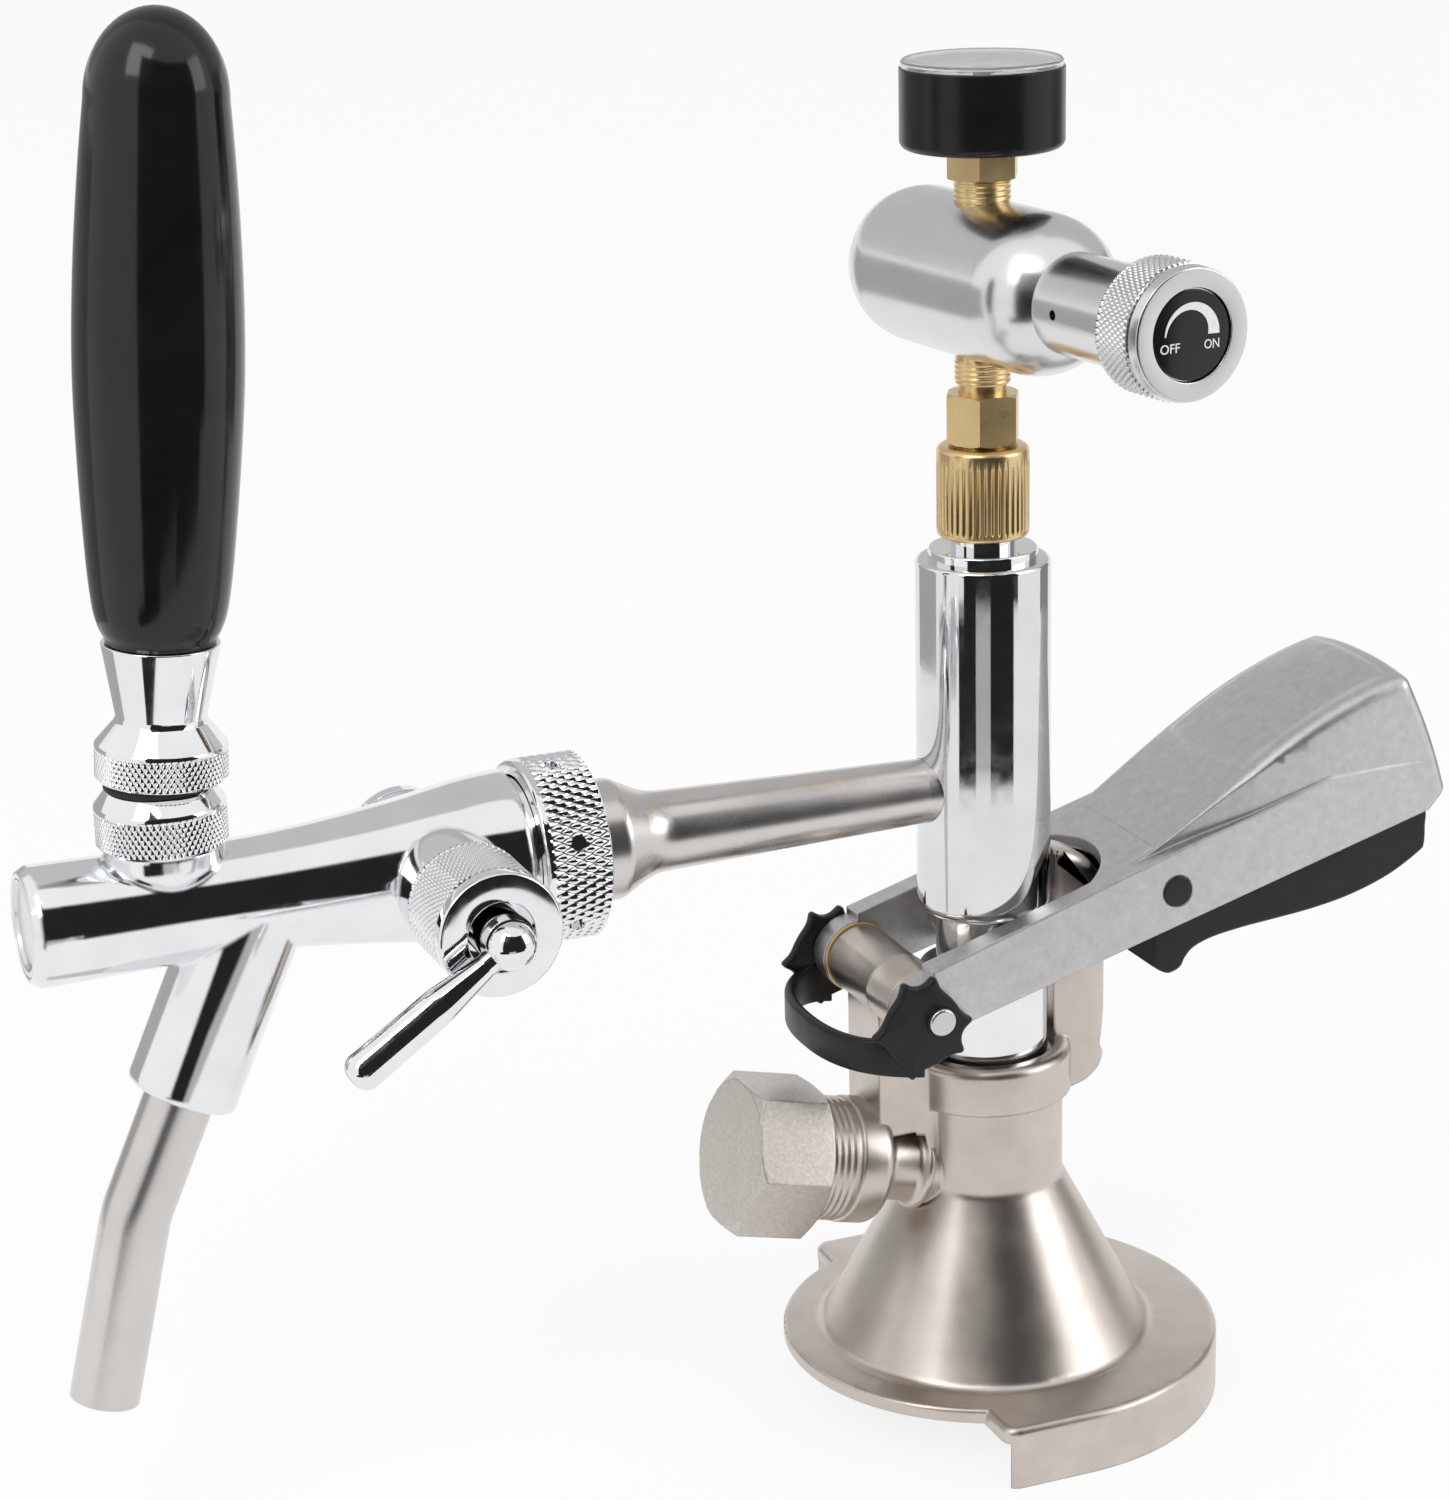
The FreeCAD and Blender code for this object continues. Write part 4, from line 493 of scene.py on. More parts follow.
def carved(made, cutters, operation="DIFFERENCE"):
    """Cuts closed meshes out of a piece, or joins them to it, and deletes them."""
    for tool in cutters:
        cut = made.modifiers.new("cut", "BOOLEAN")
        cut.operation = operation
        cut.solver = "EXACT"
        cut.object = tool
    bpy.context.view_layer.update()
    result = bpy.data.meshes.new_from_object(made.evaluated_get(bpy.context.evaluated_depsgraph_get()))
    made.modifiers.clear()
    made.data = result
    for tool in cutters:
        bpy.data.objects.remove(tool)


def closed_tool(points, faces):
    """A closed mesh that is only for cutting or joining."""
    mesh = mesh_of("tool", points, faces)
    with opened(mesh) as work:
        bmesh.ops.recalc_face_normals(work, faces=work.faces)
    return linked("tool", mesh)


def cutter(radius, start, end, segments=24):
    """A cylinder between two points, only for cutting."""
    run = Vector(end) - Vector(start)
    profile = [(0, 0), (radius, 0), (radius, run.length), (0, run.length)]
    return closed_tool(*turned(profile, segments, axis_frame(start, run)))


def cross_cutter(radius, x, z, half, segments=24):
    """A cylinder along Y about a place in the side view, only for cutting."""
    return cutter(radius, (x, -half, z), (x, half, z), segments)


def block(low, high):
    """A plain box between two corners, only for cutting."""
    corners = [(x, y, z) for x in (low[0], high[0]) for y in (low[1], high[1]) for z in (low[2], high[2])]
    return closed_tool(corners, [(0, 1, 3, 2), (4, 6, 7, 5), (0, 4, 5, 1), (2, 3, 7, 6), (0, 2, 6, 4),
                                 (1, 5, 7, 3)])


def tube_faces(rows, count):
    """Faces of a tube of rows of points, with a face at each end."""
    faces = [tuple(range(count)), tuple(reversed(range((rows - 1) * count, rows * count)))]
    for row in range(rows - 1):
        for i in range(count):
            n = (i + 1) % count
            faces.append((row * count + i, row * count + n, (row + 1) * count + n, (row + 1) * count + i))
    return faces


def prism(line, half):
    """A side outline of (x, z) points drawn across Y to both sides, only for cutting or joining."""
    points = [(x, y, z) for y in (-half, half) for x, z in line]
    return closed_tool(points, tube_faces(2, len(line)))


def node_copy(name, node):
    """A welded copy of a CAD node's mesh, as an object that may be cut."""
    mesh = bpy.data.meshes.new(name)
    with opened(mesh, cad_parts[node].data) as work:
        bmesh.ops.remove_doubles(work, verts=work.verts, dist=WELD_M)
    return linked(name, mesh)


def sliced(work, place, normal, clear_outer=False):
    """Cuts a bmesh by a plane through a place in millimetres, and may drop what is in front of it."""
    bmesh.ops.bisect_plane(work, geom=work.verts[:] + work.edges[:] + work.faces[:], dist=SLICE_M,
                           plane_co=[c * MM for c in place], plane_no=normal, clear_outer=clear_outer)


def eased(corners, steps=6, closed=True):
    """A smooth line through the corners."""
    count = len(corners)
    line = []
    for i in range(count if closed else count - 1):
        near = [i + k for k in (-1, 0, 1, 2)]
        near = [k % count if closed else min(max(k, 0), count - 1) for k in near]
        a, b, c, d = (Vector(corners[k]) for k in near)
        for j in range(steps):
            t = j / steps
            line.append(0.5 * (2 * b + (c - a) * t + (2 * a - 5 * b + 4 * c - d) * t * t
                               + (3 * b - a - 3 * c + d) * t ** 3))
    return line


def slab(name, line, low, high, edge, finish, body):
    """A side outline of (x, z) points, drawn across Y, its rims rounded by the edge radius."""
    line = [Vector(p) for p in line]
    ahead = line[1:] + line[:1]
    area = sum(here.x * there.y - there.x * here.y for here, there in zip(line, ahead))
    inward = []
    for back, there in zip(line[-1:] + line[:-1], ahead):
        run = (there - back).normalized()
        inward.append(Vector((-run.y, run.x)) * (1 if area > 0 else -1))
    arc = [(edge - edge * c, edge - edge * s) for c, s in map(around, (0, 22.5, 45, 67.5, 90))]
    rows = [(low + y, inset) for y, inset in arc] + [(high - y, inset) for y, inset in reversed(arc)]
    points = [(p.x + n.x * inset, y, p.y + n.y * inset) for y, inset in rows for p, n in zip(line, inward)]
    return piece(name, points, tube_faces(len(rows), len(line)), finish, body, 35.0)


def lettering(name, words, width, height, matrix, finish, body):
    """Raised plain words centred on a point; the matrix carries X to their right and Z out of the face."""
    font = bpy.data.curves.new(name, "FONT")
    font.body = words
    font.extrude = 0.5
    font.offset = 0.004
    font.resolution_u = 3
    holder = linked(name, font)
    bpy.context.view_layer.update()
    mesh = bpy.data.meshes.new_from_object(holder.evaluated_get(bpy.context.evaluated_depsgraph_get()))
    bpy.data.objects.remove(holder)
    spots = [v.co.copy() for v in mesh.vertices]
    low = Vector([min(s[i] for s in spots) for i in range(3)])
    high = Vector([max(s[i] for s in spots) for i in range(3)])
    middle = (low + high) / 2
    scale = (width / (high.x - low.x), height / (high.y - low.y), PRINT_THICK / (high.z - low.z))
    points = [matrix @ Vector([(s[i] - middle[i]) * scale[i] for i in range(3)]) for s in spots]
    return piece(name, points, [tuple(f.vertices) for f in mesh.polygons], finish, body, 20.0)


def crescent(name, outer, inner_start, inner_end, start_deg, end_deg, matrix, finish, body):
    """A raised arc whose inner radius changes evenly from one end to the other."""
    steps, half = 48, PRINT_THICK / 2
    points = []
    for k in range(steps + 1):
        share = k / steps
        c, s = around(start_deg + (end_deg - start_deg) * share)
        inner = inner_start + (inner_end - inner_start) * share
        for r, h in ((outer, -half), (outer, half), (inner, half), (inner, -half)):
            points.append(matrix @ Vector((r * c, r * s, h)))
    return piece(name, points, tube_faces(steps + 1, 4), finish, body, 20.0)


def facing(origin, out, up=(0, 0, 1)):
    """Matrix whose Z points out of a face and whose Y points up, as a reader in front of it sees it."""
    normal = Vector(out).normalized()
    right = Vector(up).cross(normal).normalized()
    turn = Matrix((right, normal.cross(right), normal)).transposed().to_4x4()
    return Matrix.Translation(Vector(origin)) @ turn


# Places and axes of the parts

ORIGIN = (0, 0, 0)
ACROSS = (0, 1, 0)
PIVOT_X, PIVOT_Z = -19.6, 76.2
PIVOT = (PIVOT_X, 0, PIVOT_Z)
FAUCET_Z = 112.7
FAUCET = (0, 0, FAUCET_Z)
FAUCET_AXIS = (-1, 0, 0)
FLOW = (-108.0, 0, FAUCET_Z)
FLOW_AXIS = (0, -1, 0)
TAP_X, TAP_Z = -155.2, 126.0
TAP = (TAP_X, 0, TAP_Z)
TAP_COS, TAP_SIN = around(3.6)
TAP_AXIS = (TAP_SIN, 0, TAP_COS)
INLET = (0, 0, 34.9)
INLET_COS, INLET_SIN = around(13.4)
INLET_AXIS = (-INLET_COS, 0, INLET_SIN)
REGULATOR = (0, 0, 207.1)
REGULATOR_COS, REGULATOR_SIN = around(7.0)
REGULATOR_AXIS = Vector((REGULATOR_SIN, -REGULATOR_COS, 0))


# Coupling collar, with its spanner holes

def coupling_collar():
    low, high, radius = 79.4, 91.8, 16.8
    made = knurled("collar_knurl",
                   [(14.1, low + 2.3), (11.3, low + 2.3), (11.3, low), (15.9, low, 0.3), (16.3, low + 0.45)],
                   (radius, low + 0.5, high - 1.5, 6),
                   [(radius - 0.1, high - 1.46), (radius - 0.12, high, 1.3), (14.1, high)],
                   FAUCET, FAUCET_AXIS, "chrome", "collar", teeth=58, depth=0.55)
    middle = Vector((-(low + high) / 2, 0, FAUCET_Z))
    holes = []
    for degrees in range(40, 400, 60):
        outward = Vector((0, *around(degrees)))
        holes.append(cutter(1.45, middle + outward * 15.0, middle + outward * 18.5))
    carved(made, holes)
    dress(made, "chrome", "collar", 50.0, ("coupling_collar",))


coupling_collar()


# Tap: bonnet, ferrule and grip

def bonnet():
    low, radius = 124.4, 11.3
    made = knurled("bonnet_knurl",
                   [(5.5, low - 3.2), (7.6, low - 3.2), (7.6, low), (radius - 0.6, low, 0.15),
                    (radius - 0.3, low + 0.5)],
                   (radius, low + 0.6, low + 6.5, 7),
                   [(radius, low + 6.54), (radius, low + 7.4, 1.3), (8.9, low + 10.4, 0.9), (7.9, low + 10.4),
                    (5.0, low + 4.9), (5.0, low + 4.1), (5.5, low + 2.9)],
                   (TAP_X, 0, 0), UP, "chrome", "probe", teeth=62)
    carved(made, [cross_cutter(1.6, TAP_X, TAP_Z, 7.0)])
    dress(made, "chrome", "probe", 50.0, ("bonnet",))


def ferrule():
    low, high, radius = 10.0, 16.0, 11.35
    knurled("ferrule_knurl",
            [(3.05, 14.4), (9.95, 14.4), (9.95, low), (radius - 0.5, low, 0.15), (radius - 0.25, low + 0.45)],
            (radius, low + 0.55, high - 0.6, 6),
            [(radius, high - 0.56), (radius, high + 0.2, 1.2), (7.65, 20.6, 1.6), (10.15, 33.8, 0.25),
             (3.05, 33.8)],
            TAP, TAP_AXIS, "chrome", "tap", ("handle_ferrule",), teeth=62)


def grip():
    foot, shoulder, shoulder_r, top = 33.9, 124.0, 11.85, 138.8
    side = [(foot, 9.3), (34.9, 9.7), (36.6, 10.5), (40.0, 11.4), (48.0, 12.35), (64.0, 13.5),
            (80.0, 14.15), (96.0, 13.85), (112.0, 12.9), (shoulder, shoulder_r)]
    profile = [(0, foot)] + [(r, height) for height, r in eased(side, 5, False)] + [(shoulder_r, shoulder)]
    for degrees in range(5, 90, 5):
        c, s = around(degrees)
        profile.append((shoulder_r * c, shoulder + (top - shoulder) * s))
    lathe("grip_form", profile + [(0, top)], TAP, TAP_AXIS, "gloss_black", "tap", ("handle_grip",),
          segments=160, smooth_deg=40.0)


bonnet()
ferrule()
grip()


# Flow gland, union nut and the threads beside the regulator

def flow_gland():
    knurled("gland_knurl",
            [(3.8, 15.0), (5.25, 15.0), (5.25, 19.35), (9.7, 19.35), (10.85, 20.9, 0.5), (10.86, 21.3)],
            (10.9, 21.4, 35.3, 17),
            [(10.45, 35.35), (10.45, 36.0), (11.0, 36.4, 0.35), (11.0, 39.0, 0.7), (5.9, 39.0, 0.3),
             (5.9, 34.2), (3.8, 34.2)],
            FLOW, FLOW_AXIS, "chrome", "probe", ("flow_gland",), teeth=60, depth=0.42)


def union_nut():
    radius, flutes_low, flutes_high = 8.45, 161.6, 174.1
    fluted("union_flutes",
           [(6.9, 160.3), (radius, 160.3, 0.9), (radius, flutes_low), (radius, flutes_low + 0.5),
            (radius, flutes_high - 0.5), (radius, flutes_high), (radius, 177.0, 1.2), (5.3, 177.0),
            (5.3, 172.9), (6.9, 172.9)],
           (radius, flutes_low, flutes_high), ORIGIN, UP, "brass", "union", ("union_nut",))


flow_gland()
union_nut()
for name, low, high in (("tail_thread", 188.4, 193.0), ("gauge_thread", 220.9, 225.15)):
    thread(name, 5.12, 4.92, 4.3, low, high, 0.94, ORIGIN, UP, "brass", "regulator")


# Gas inlet, and the coupler's body with a slimmer inlet neck and a domed guide post

def gas_inlet():
    thread("inlet_thread", 11.75, 11.47, 10.6, 32.0, 38.7, 1.34, INLET, INLET_AXIS, "cast_nickel",
           "coupler")
    lathe("inlet_neck",
          [(6.1, 15.1), (8.9, 15.1, 0.5), (8.9, 16.3, 0.6), (7.4, 17.3, 1.2), (7.4, 23.8, 2.0),
           (12.0, 25.3, 2.4), (12.0, 31.7, 0.5), (11.6, 31.9), (8.6, 31.9), (8.6, 25.95), (6.1, 25.95)],
          INLET, INLET_AXIS, "cast_nickel", "coupler")


def guide_post(face_x, reach, low, high):
    """The upper end of the guide post, domed outwards and hollowed to the column's guide."""
    outline = [(face_x - 1.0, low - 3.0), (face_x + reach, low - 3.0)]
    for degrees in range(0, 91, 6):
        c, s = around(degrees)
        outline.append((face_x + reach * c, low + (high - low) * s))
    made = slab("guide_horn", outline + [(face_x - 1.0, high)], -4.8, 4.8, 2.4, "cast_nickel", "coupler")
    carved(made, [cutter(13.3, (0, 0, 78), (0, 0, 104), 96)])
    dress(made, "cast_nickel", "coupler", 35.0)


def coupler():
    post_x, post_low = 13.0, 84.0
    neck_trim = [(6.2, 16.6), (8.4, 16.6), (10.5, 18.0), (10.5, 19.8), (13.0, 22.0), (13.0, 28.0),
                 (10.4, 28.0), (10.4, 25.9), (6.2, 25.9)]
    body = node_copy("coupler_form", "coupler_body")
    ring = closed_tool(*turned(neck_trim, 96, axis_frame(INLET, INLET_AXIS)))
    hinge_rib = block((-30.0, -7.05, 47.8), (-10.0, 7.05, 60.0))
    carved(ring, [hinge_rib])
    carved(body, [ring, block((post_x - 1.5, -5.6, post_low), (26.5, 5.6, 103.0))])
    guide_post(post_x, 11.9, post_low, 98.4)
    dress(body, "cast_nickel", "coupler", 32.0, ("coupler_body",))


gas_inlet()
coupler()


# Lever casting: crowned head with a raised palm pad, and a web round the guide post

LEVER_TOP = ((22.5, 97.3), (34.0, 103.4), (47.7, 113.5), (61.5, 121.4), (71.0, 125.1), (81.2, 127.3),
             (90.0, 127.3))
LEVER_UNDER_X, LEVER_UNDER_Z, LEVER_UNDER_SLOPE = -25.4, 70.2, 0.2634
LEVER_HALF_WIDTH = 17.3
PAD_HEIGHT = 0.45
HEAD_START_X = 32


def lever_cuts():
    """(axis, place) of the planes that divide the head finely enough for its crown and pad."""
    along = np.concatenate([np.arange(33, 44, 2.0), np.arange(44, 52, 0.5), np.arange(52, 75, 2.5),
                            np.arange(75, 82, 0.6), (84.0, 86.0, 88.0)])
    widths = (3, 6, 9, 12, 12.8, 13.2, 13.6, 14, 14.4, 14.8, 15.3)
    cuts = [(0, float(x)) for x in along]
    cuts += [(1, side * y) for side in (-1, 1) for y in widths]
    return cuts + [(2, z) for z in range(104, 127, 3)]


def lever_shift(x, y, z):
    """How far a point of the head moves along X and up."""
    top = float(np.interp(x, [c[0] for c in LEVER_TOP], [c[1] for c in LEVER_TOP]))
    bottom = LEVER_UNDER_Z + LEVER_UNDER_SLOPE * (x - LEVER_UNDER_X)
    share = clamp((z - bottom) / (top - bottom))
    side = min(1.0, abs(y) / LEVER_HALF_WIDTH)
    drop = -1.3 * side ** 2.5 * ease(x, 34, 52) * (1 - 0.35 * ease(x, 66, 81))
    crown = 0.9 * (1 - side ** 2) * ease(x, 58, 80)
    bow = 0.0085 * y * y
    pad = ease(x, 45.0 + bow, 46.3 + bow) * (1 - ease(abs(y), 13.1, 14.7)) * (1 - ease(x, 76.8, 78.6))
    swell = 0.7 * ease(x, 72, 84) * math.sin(math.pi * clamp((z - 101) / 25))
    return swell, share ** 2 * (drop + crown) + (PAD_HEIGHT * pad if share > 0.86 else 0)


def lever():
    made = node_copy("lever_form", "lever_casting")
    with opened(made.data) as work:
        for axis, place in lever_cuts():
            normal = [0, 0, 0]
            normal[axis] = 1
            sliced(work, [n * place for n in normal], normal)
        for vert in work.verts:
            x, y, z = (c / MM for c in vert.co)
            if x >= HEAD_START_X:
                out, lift = lever_shift(x, y, z)
                vert.co.z += lift * MM
                vert.co.x += out * MM
    web_top = [(9.0, 93.23), (20.2, 96.59), (22.5, 97.29), (28.0, 100.2)]
    web = prism(web_top + [(x, z - 2.4) for x, z in reversed(web_top)], 14.6)
    carved(web, [cutter(17.5, (5.0, 0, 80), (5.0, 0, 110), 160)])
    carved(made, [web], "UNION")
    dress(made, "cast_aluminium", "lever", 32.0, ("lever_casting",))


lever()


# Hinge barrel and the flanged bushes at its ends

def hinge():
    lathe("hinge_barrel",
          [(2.7, -13.7), (6.6, -13.7, 0.5), (6.6, -4.4), (6.72, -4.2), (6.6, -4.0), (6.6, 13.7, 0.5),
           (2.7, 13.7)],
          PIVOT, ACROSS, "cast_nickel", "coupler")
    for name, side in (("bush_near", -1), ("bush_far", 1)):
        lathe(name, [(2.66, 13.8), (6.9, 13.8, 0.25), (6.9, 14.45), (4.0, 14.45), (4.0, 19.0), (2.66, 19.0)],
              PIVOT, (0, side, 0), "brass", "lever", ("pivot_bushes",))


hinge()


# Trigger under the lever

TRIGGER_SIDE = [(23.5, 80.6), (27.4, 76.8), (31.3, 74.0), (33.4, 74.0), (34.9, 74.9), (35.7, 76.4),
                (37.6, 78.2), (41.8, 79.6), (48.2, 80.5), (55.3, 81.1), (63.5, 81.9), (71.8, 83.4),
                (80.0, 86.1), (86.6, 89.8), (87.8, 91.4), (87.9, 95.0), (87.7, 98.6), (84.0, 102.8),
                (72.0, 102.2), (60.0, 101.0), (48.0, 99.2), (40.0, 98.0), (34.0, 98.2), (27.0, 95.6),
                (23.0, 91.0), (22.6, 86.0)]


def trigger():
    half = 14.1
    made = slab("trigger_form", eased(TRIGGER_SIDE), -half, half, 0.9, "matte_black", "trigger_grip")
    with opened(made.data) as work:
        for side in (-1, 1):
            sliced(work, (29.2, side * half, 80.0), (-0.66, side * 0.75, 0), clear_outer=True)
            bmesh.ops.holes_fill(work, edges=[e for e in work.edges if e.is_boundary])
    body_room = cross_cutter(50.2, PIVOT_X, PIVOT_Z, 5.3, 160)
    spring_room = block((24.0, -4.3, 86.5), (37.5, 4.3, 110.0))
    pin_hole = cross_cutter(3.1, 31.2, 92.0, 20, 40)
    carved(made, [body_room, spring_room, pin_hole])
    dress(made, "matte_black", "trigger_grip", 35.0, ("trigger",))


trigger()


# Toothed clip on the hinge pin, with its finger strap

CLIP_LOW, CLIP_HIGH = 19.8, 22.0
CLIP_X, CLIP_Z = PIVOT_X - 3.1, PIVOT_Z - 1.4
CLIP_TEETH = (112, 76, 2, -35, -104, -177)


def clip_ends():
    valley_r, tooth_height, tooth_half = 7.45, 2.35, 7.5
    rim = []
    for degrees in range(0, 360, 2):
        gaps = [min((degrees - tooth) % 360, (tooth - degrees) % 360) for tooth in CLIP_TEETH]
        radius = valley_r + tooth_height * min(1.0, sum(1 / (1 + (gap / tooth_half) ** 2) for gap in gaps))
        c, s = around(degrees)
        rim.append((CLIP_X + radius * c, CLIP_Z + radius * s))
    for name, low in (("clip_near", -CLIP_HIGH), ("clip_far", CLIP_LOW)):
        disc = slab(name, rim, low, low + CLIP_HIGH - CLIP_LOW, 0.6, "matte_black", "coupler")
        carved(disc, [cross_cutter(2.65, PIVOT_X, PIVOT_Z, 30, 40)])
        dress(disc, "matte_black", "coupler", 35.0, ("pin_clip",))


def strap_section(thick, edge):
    """(across, share of the height, lift) round the strap's section, its corners rounded by the edge."""
    section = []
    for corner, (cx, cz) in enumerate(((0.5, 0.5), (-0.5, 0.5), (-0.5, -0.5), (0.5, -0.5))):
        for k in range(4):
            c, s = around(90 * corner + 30 * k)
            section.append((cx * (thick - 2 * edge) + edge * c, cz, edge * s))
    return section


def clip_strap():
    """A band swept round the hinge along half of a squared ellipse, taller at its two roots."""
    thick, edge, steps, power = 2.0, 0.7, 64, 0.87
    reach_x, reach_y = 14.0, CLIP_HIGH - thick / 2
    section = strap_section(thick, edge)
    points = []
    for j in range(steps + 1):
        turn = math.pi * j / steps
        c, s = math.cos(turn), math.sin(turn)
        x = CLIP_X - reach_x * abs(s) ** power
        y = reach_y * math.copysign(abs(c) ** power, c)
        out = Vector((-abs(s) ** (2 - power) / reach_x, math.copysign(abs(c) ** (2 - power), c) / reach_y))
        out.normalize()
        root = (1 - s) ** 3
        low, high = 66.3 - 1.0 * root, 72.8 + 3.0 * root
        for across, share, lift in section:
            z = (low + high) / 2 + share * (high - low - 2 * edge) + lift
            points.append((x + out.x * across, y + out.y * across, z))
    faces = tube_faces(steps + 1, len(section))
    piece("clip_strap", points, faces, "matte_black", "coupler", 40.0, ("pin_clip",))


clip_ends()
clip_strap()


# Regulator's knob and its printed dial

KNOB_FACE = 63.2


def knob():
    low, high, radius = 51.6, 60.6, 11.8
    knurled("knob_knurl",
            [(0, 33.3), (3.2, 33.3), (4.0, 34.3), (4.0, 59.2), (9.3, 59.2), (9.3, low),
             (radius - 0.4, low, 0.2), (radius - 0.1, low + 0.5)],
            (radius, low + 0.6, high - 0.3, 10),
            [(11.25, high - 0.2), (11.25, high + 0.3), (11.55, high + 0.6, 0.3), (11.2, KNOB_FACE, 0.8),
             (10.7, KNOB_FACE), (7.95, KNOB_FACE, 0.15), (7.75, KNOB_FACE - 0.9), (0, KNOB_FACE - 0.9)],
            REGULATOR, REGULATOR_AXIS, "satin_chrome", "knob", ("regulator_knob",), teeth=64, depth=0.42)
    lathe("dial_disc",
          [(0, KNOB_FACE - 0.89), (7.6, KNOB_FACE - 0.89), (7.6, KNOB_FACE - 0.25, 0.15),
           (0, KNOB_FACE - 0.16)],
          REGULATOR, REGULATOR_AXIS, "gloss_black", "knob", ("knob_dial",))


def on_dial(across, up):
    """Matrix at a place on the knob's dial."""
    face = facing(Vector(REGULATOR) + REGULATOR_AXIS * (KNOB_FACE - 0.14), REGULATOR_AXIS)
    return face @ Matrix.Translation((across, up, 0))


knob()
lettering("dial_off", "OFF", 3.9, 1.6, on_dial(-4.4, -1.8), "print_white", "knob")
lettering("dial_on", "ON", 3.0, 1.6, on_dial(4.0, -1.8), "print_white", "knob")
crescent("dial_arc", 5.5, 5.25, 3.2, 178.0, -2.0, on_dial(0, 0), "print_white", "knob")


# Gauge's scale

def gauge_scale():
    dial_z, half_thick, mark_end, start_deg = 242.8, 0.05, 12.6, 225.0
    points, faces = [], []
    for i in range(31):
        c, s = around(start_deg - 9.0 * i)
        inner, half = (9.6, 0.22) if i % 5 == 0 else (11.0, 0.12)
        faces += [tuple(len(points) + corner for corner in face) for face in tube_faces(2, 4)]
        for z in (dial_z - half_thick, dial_z + half_thick):
            for r, across in ((inner, -half), (mark_end, -half), (mark_end, half), (inner, half)):
                points.append((r * c - across * s, r * s + across * c, z))
    piece("gauge_ticks", points, faces, "black_pin", "regulator", 20.0)
    for i in range(7):
        c, s = around(start_deg - 45.0 * i)
        digits = str(10 * i)
        place = facing((7.7 * c, 7.7 * s, dial_z + 0.02), UP, ACROSS)
        lettering("gauge_" + digits, digits, 1.3 * len(digits) - 0.2, 1.7, place, "black_pin", "regulator")


gauge_scale()


# Stage, in metres: floor, soft light, cards for the chrome, camera

FLOOR_Z = -0.009
CARD_FOOT = FLOOR_Z + 0.0002
TOWARD = Vector((-0.4384, -0.8988, 0))
ASIDE = Vector((0.8988, -0.4384, 0))
CARD_BLIND = ("camera", "diffuse", "transmission", "shadow", "volume_scatter")
# Range of degrees from the camera's side, positive to the right; radius; heights; grey; lean inwards
CARDS = {
    "card_low_right": ((12, 52), 0.39, (CARD_FOOT, 0.045), 0.02, 0.0),
    "card_low_left": ((-41, -12), 0.39, (CARD_FOOT, 0.045), 0.02, 0.0),
    "card_low_middle": ((-12, 12), 0.40, (CARD_FOOT, 0.045), 0.50, 0.0),
    "card_high": ((-32, 60), 0.39, (0.045, 0.55), 0.02, 0.0),
    "card_far_right": ((111, 140), 0.50, (CARD_FOOT, 0.35), 0.28, 0.0),
    "card_far_left": ((-135, -85), 0.50, (CARD_FOOT, 0.25), 0.45, 0.0),
    "card_roof": ((110, 250), 0.60, (0.30, 0.95), 0.60, 0.50),
}


def emptied(owner):
    """The node tree of a material or world, without its nodes."""
    owner.use_nodes = True
    owner.node_tree.nodes.clear()
    return owner.node_tree


def arithmetic(tree, operation, first, second):
    """Output of a math node; the second value may be a plain number."""
    made = tree.nodes.new("ShaderNodeMath")
    made.operation = operation
    tree.links.new(first, made.inputs[0])
    if isinstance(second, bpy.types.NodeSocket):
        tree.links.new(second, made.inputs[1])
    else:
        made.inputs[1].default_value = second
    return made.outputs[0]


def backdrop(name, grey, keep):
    """Diffuse under lamps; camera, mirror and glass rays see it mostly as its own plain white."""
    made = bpy.data.materials.new(name)
    tree = emptied(made)
    diffuse = tree.nodes.new("ShaderNodeBsdfDiffuse")
    diffuse.inputs["Color"].default_value = (grey, grey, grey, 1)
    plain = tree.nodes.new("ShaderNodeEmission")
    plain.inputs["Color"].default_value = (1, 1, 1, 1)
    path = tree.nodes.new("ShaderNodeLightPath").outputs
    seen = arithmetic(tree, "MAXIMUM", path["Is Camera Ray"], path["Is Glossy Ray"])
    seen = arithmetic(tree, "MAXIMUM", seen, path["Is Transmission Ray"])
    mix = tree.nodes.new("ShaderNodeMixShader")
    tree.links.new(arithmetic(tree, "MULTIPLY", seen, keep), mix.inputs["Fac"])
    tree.links.new(diffuse.outputs[0], mix.inputs[1])
    tree.links.new(plain.outputs[0], mix.inputs[2])
    output = tree.nodes.new("ShaderNodeOutputMaterial")
    tree.links.new(mix.outputs[0], output.inputs["Surface"])
    return made


def plain_glow(grey):
    """Emission of one grey, shared by all cards of that grey."""
    name = f"card_{round(grey * 100)}"
    made = bpy.data.materials.get(name)
    if made is None:
        made = bpy.data.materials.new(name)
        tree = emptied(made)
        glow = tree.nodes.new("ShaderNodeEmission")
        glow.inputs["Color"].default_value = (grey, grey, grey, 1)
        output = tree.nodes.new("ShaderNodeOutputMaterial")
        tree.links.new(glow.outputs[0], output.inputs["Surface"])
    return made


def staged(name, points, faces, material, blind=()):
    """A mesh of the stage, unseen by the rays in blind."""
    mesh = bpy.data.meshes.new(name)
    mesh.from_pydata(points, [], faces)
    mesh.materials.append(material)
    made = linked(name, mesh)
    for rays in blind:
        setattr(made, "visible_" + rays, False)


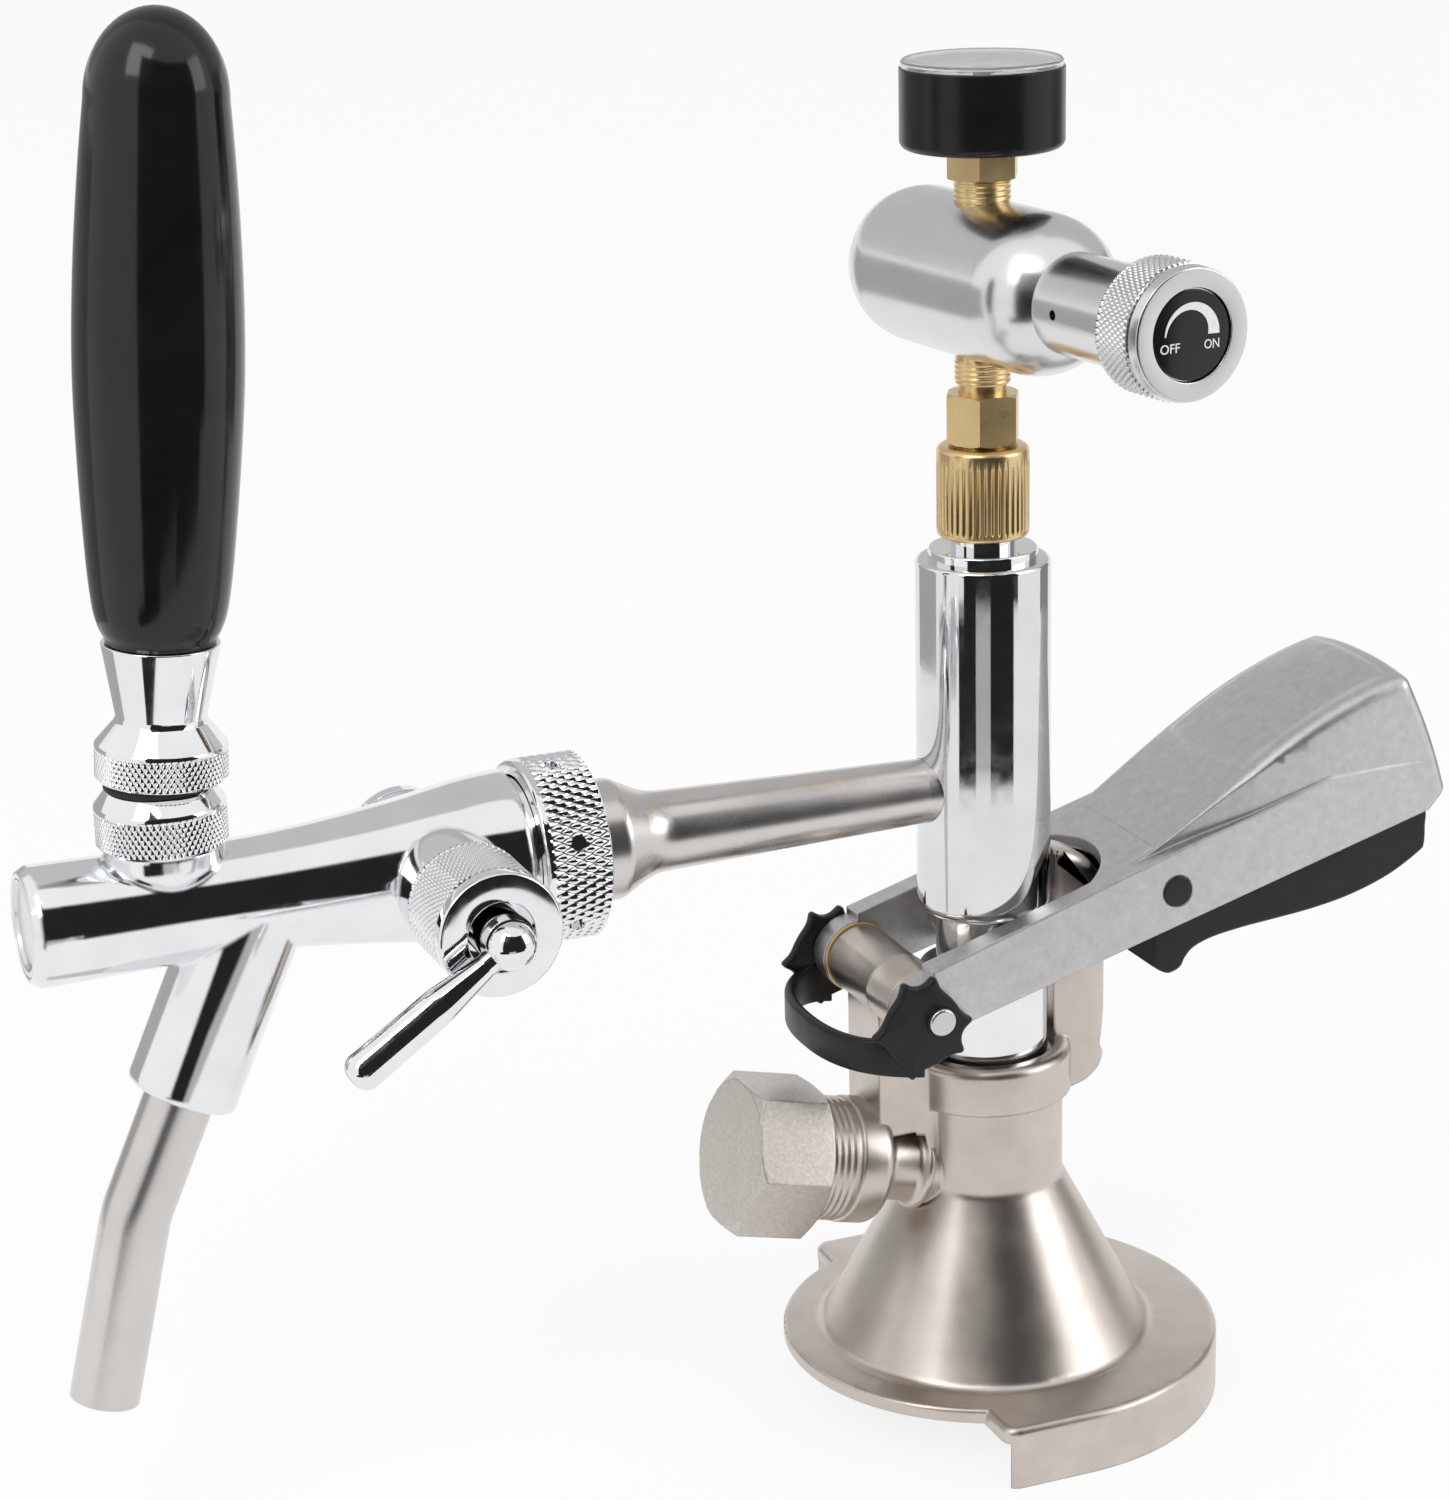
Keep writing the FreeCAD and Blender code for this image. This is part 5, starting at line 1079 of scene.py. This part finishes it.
def card(name, turn, radius, heights, grey, lean):
    """A curved studio card that only mirror-like surfaces see, standing round the probe's axis."""
    steps, rows = 12, 6
    points = []
    for j in range(rows + 1):
        share = j / rows
        z = heights[0] + (heights[1] - heights[0]) * share
        r = radius - lean * share ** 2
        for i in range(steps + 1):
            c, s = around(turn[0] + (turn[1] - turn[0]) * i / steps)
            points.append(TOWARD * r * c + ASIDE * r * s + UP * z)
    corners = [j * (steps + 1) + i for j in range(rows) for i in range(steps)]
    faces = [(a, a + 1, a + steps + 2, a + steps + 1) for a in corners]
    staged(name, points, faces, plain_glow(grey), CARD_BLIND)


def softbox(name, place, size, power):
    """A square lamp aimed at the middle of the part."""
    lamp = bpy.data.lights.new(name, "AREA")
    lamp.shape = "RECTANGLE"
    lamp.size, lamp.size_y = size, size
    lamp.energy = power
    made = linked(name, lamp)
    made.location = place
    made.rotation_euler = (Vector((-0.05, 0, 0.1)) - Vector(place)).to_track_quat("-Z", "Y").to_euler()


def studio_world():
    """An even white, a little weaker as light on surfaces than as seen and mirrored."""
    world = bpy.data.worlds.new("studio")
    bpy.context.scene.world = world
    tree = emptied(world)
    path = tree.nodes.new("ShaderNodeLightPath").outputs
    level = tree.nodes.new("ShaderNodeMapRange")
    level.inputs[3].default_value = 0.75
    level.inputs[4].default_value = 1.0
    tree.links.new(arithmetic(tree, "MAXIMUM", path["Is Camera Ray"], path["Is Glossy Ray"]), level.inputs[0])
    light = tree.nodes.new("ShaderNodeBackground")
    light.inputs["Color"].default_value = (1, 1, 1, 1)
    tree.links.new(level.outputs[0], light.inputs["Strength"])
    output = tree.nodes.new("ShaderNodeOutputWorld")
    tree.links.new(light.outputs[0], output.inputs["Surface"])


def photo_camera():
    """The camera that matches the photo."""
    data = bpy.data.cameras.new("camera")
    data.lens = 88.964
    data.sensor_width = 36.0
    data.sensor_fit = "AUTO"
    data.clip_start = 0.02
    data.clip_end = 60.0
    right = Vector((0.925449, -0.378175, -0.022965))
    up = Vector((0.134941, 0.272366, 0.952685))
    turn = Matrix((right, up, right.cross(up))).transposed().to_4x4()
    made = linked("camera", data)
    made.matrix_world = Matrix.Translation((-0.288129, -0.590751, 0.3285)) @ turn
    bpy.context.scene.camera = made
    bpy.context.scene.view_settings.view_transform = "Standard"


staged("floor", [(x, y, FLOOR_Z) for x, y in ((-15, -15), (15, -15), (15, 15), (-15, 15))], [(0, 1, 2, 3)],
       backdrop("floor_white", 0.9, 0.85))
studio_world()
for name, spec in CARDS.items():
    card(name, *spec)
softbox("key", (-0.9, -0.7, 1.2), 0.9, 9.0)
softbox("fill", (1.1, -0.8, 0.7), 0.8, 4.0)
photo_camera()
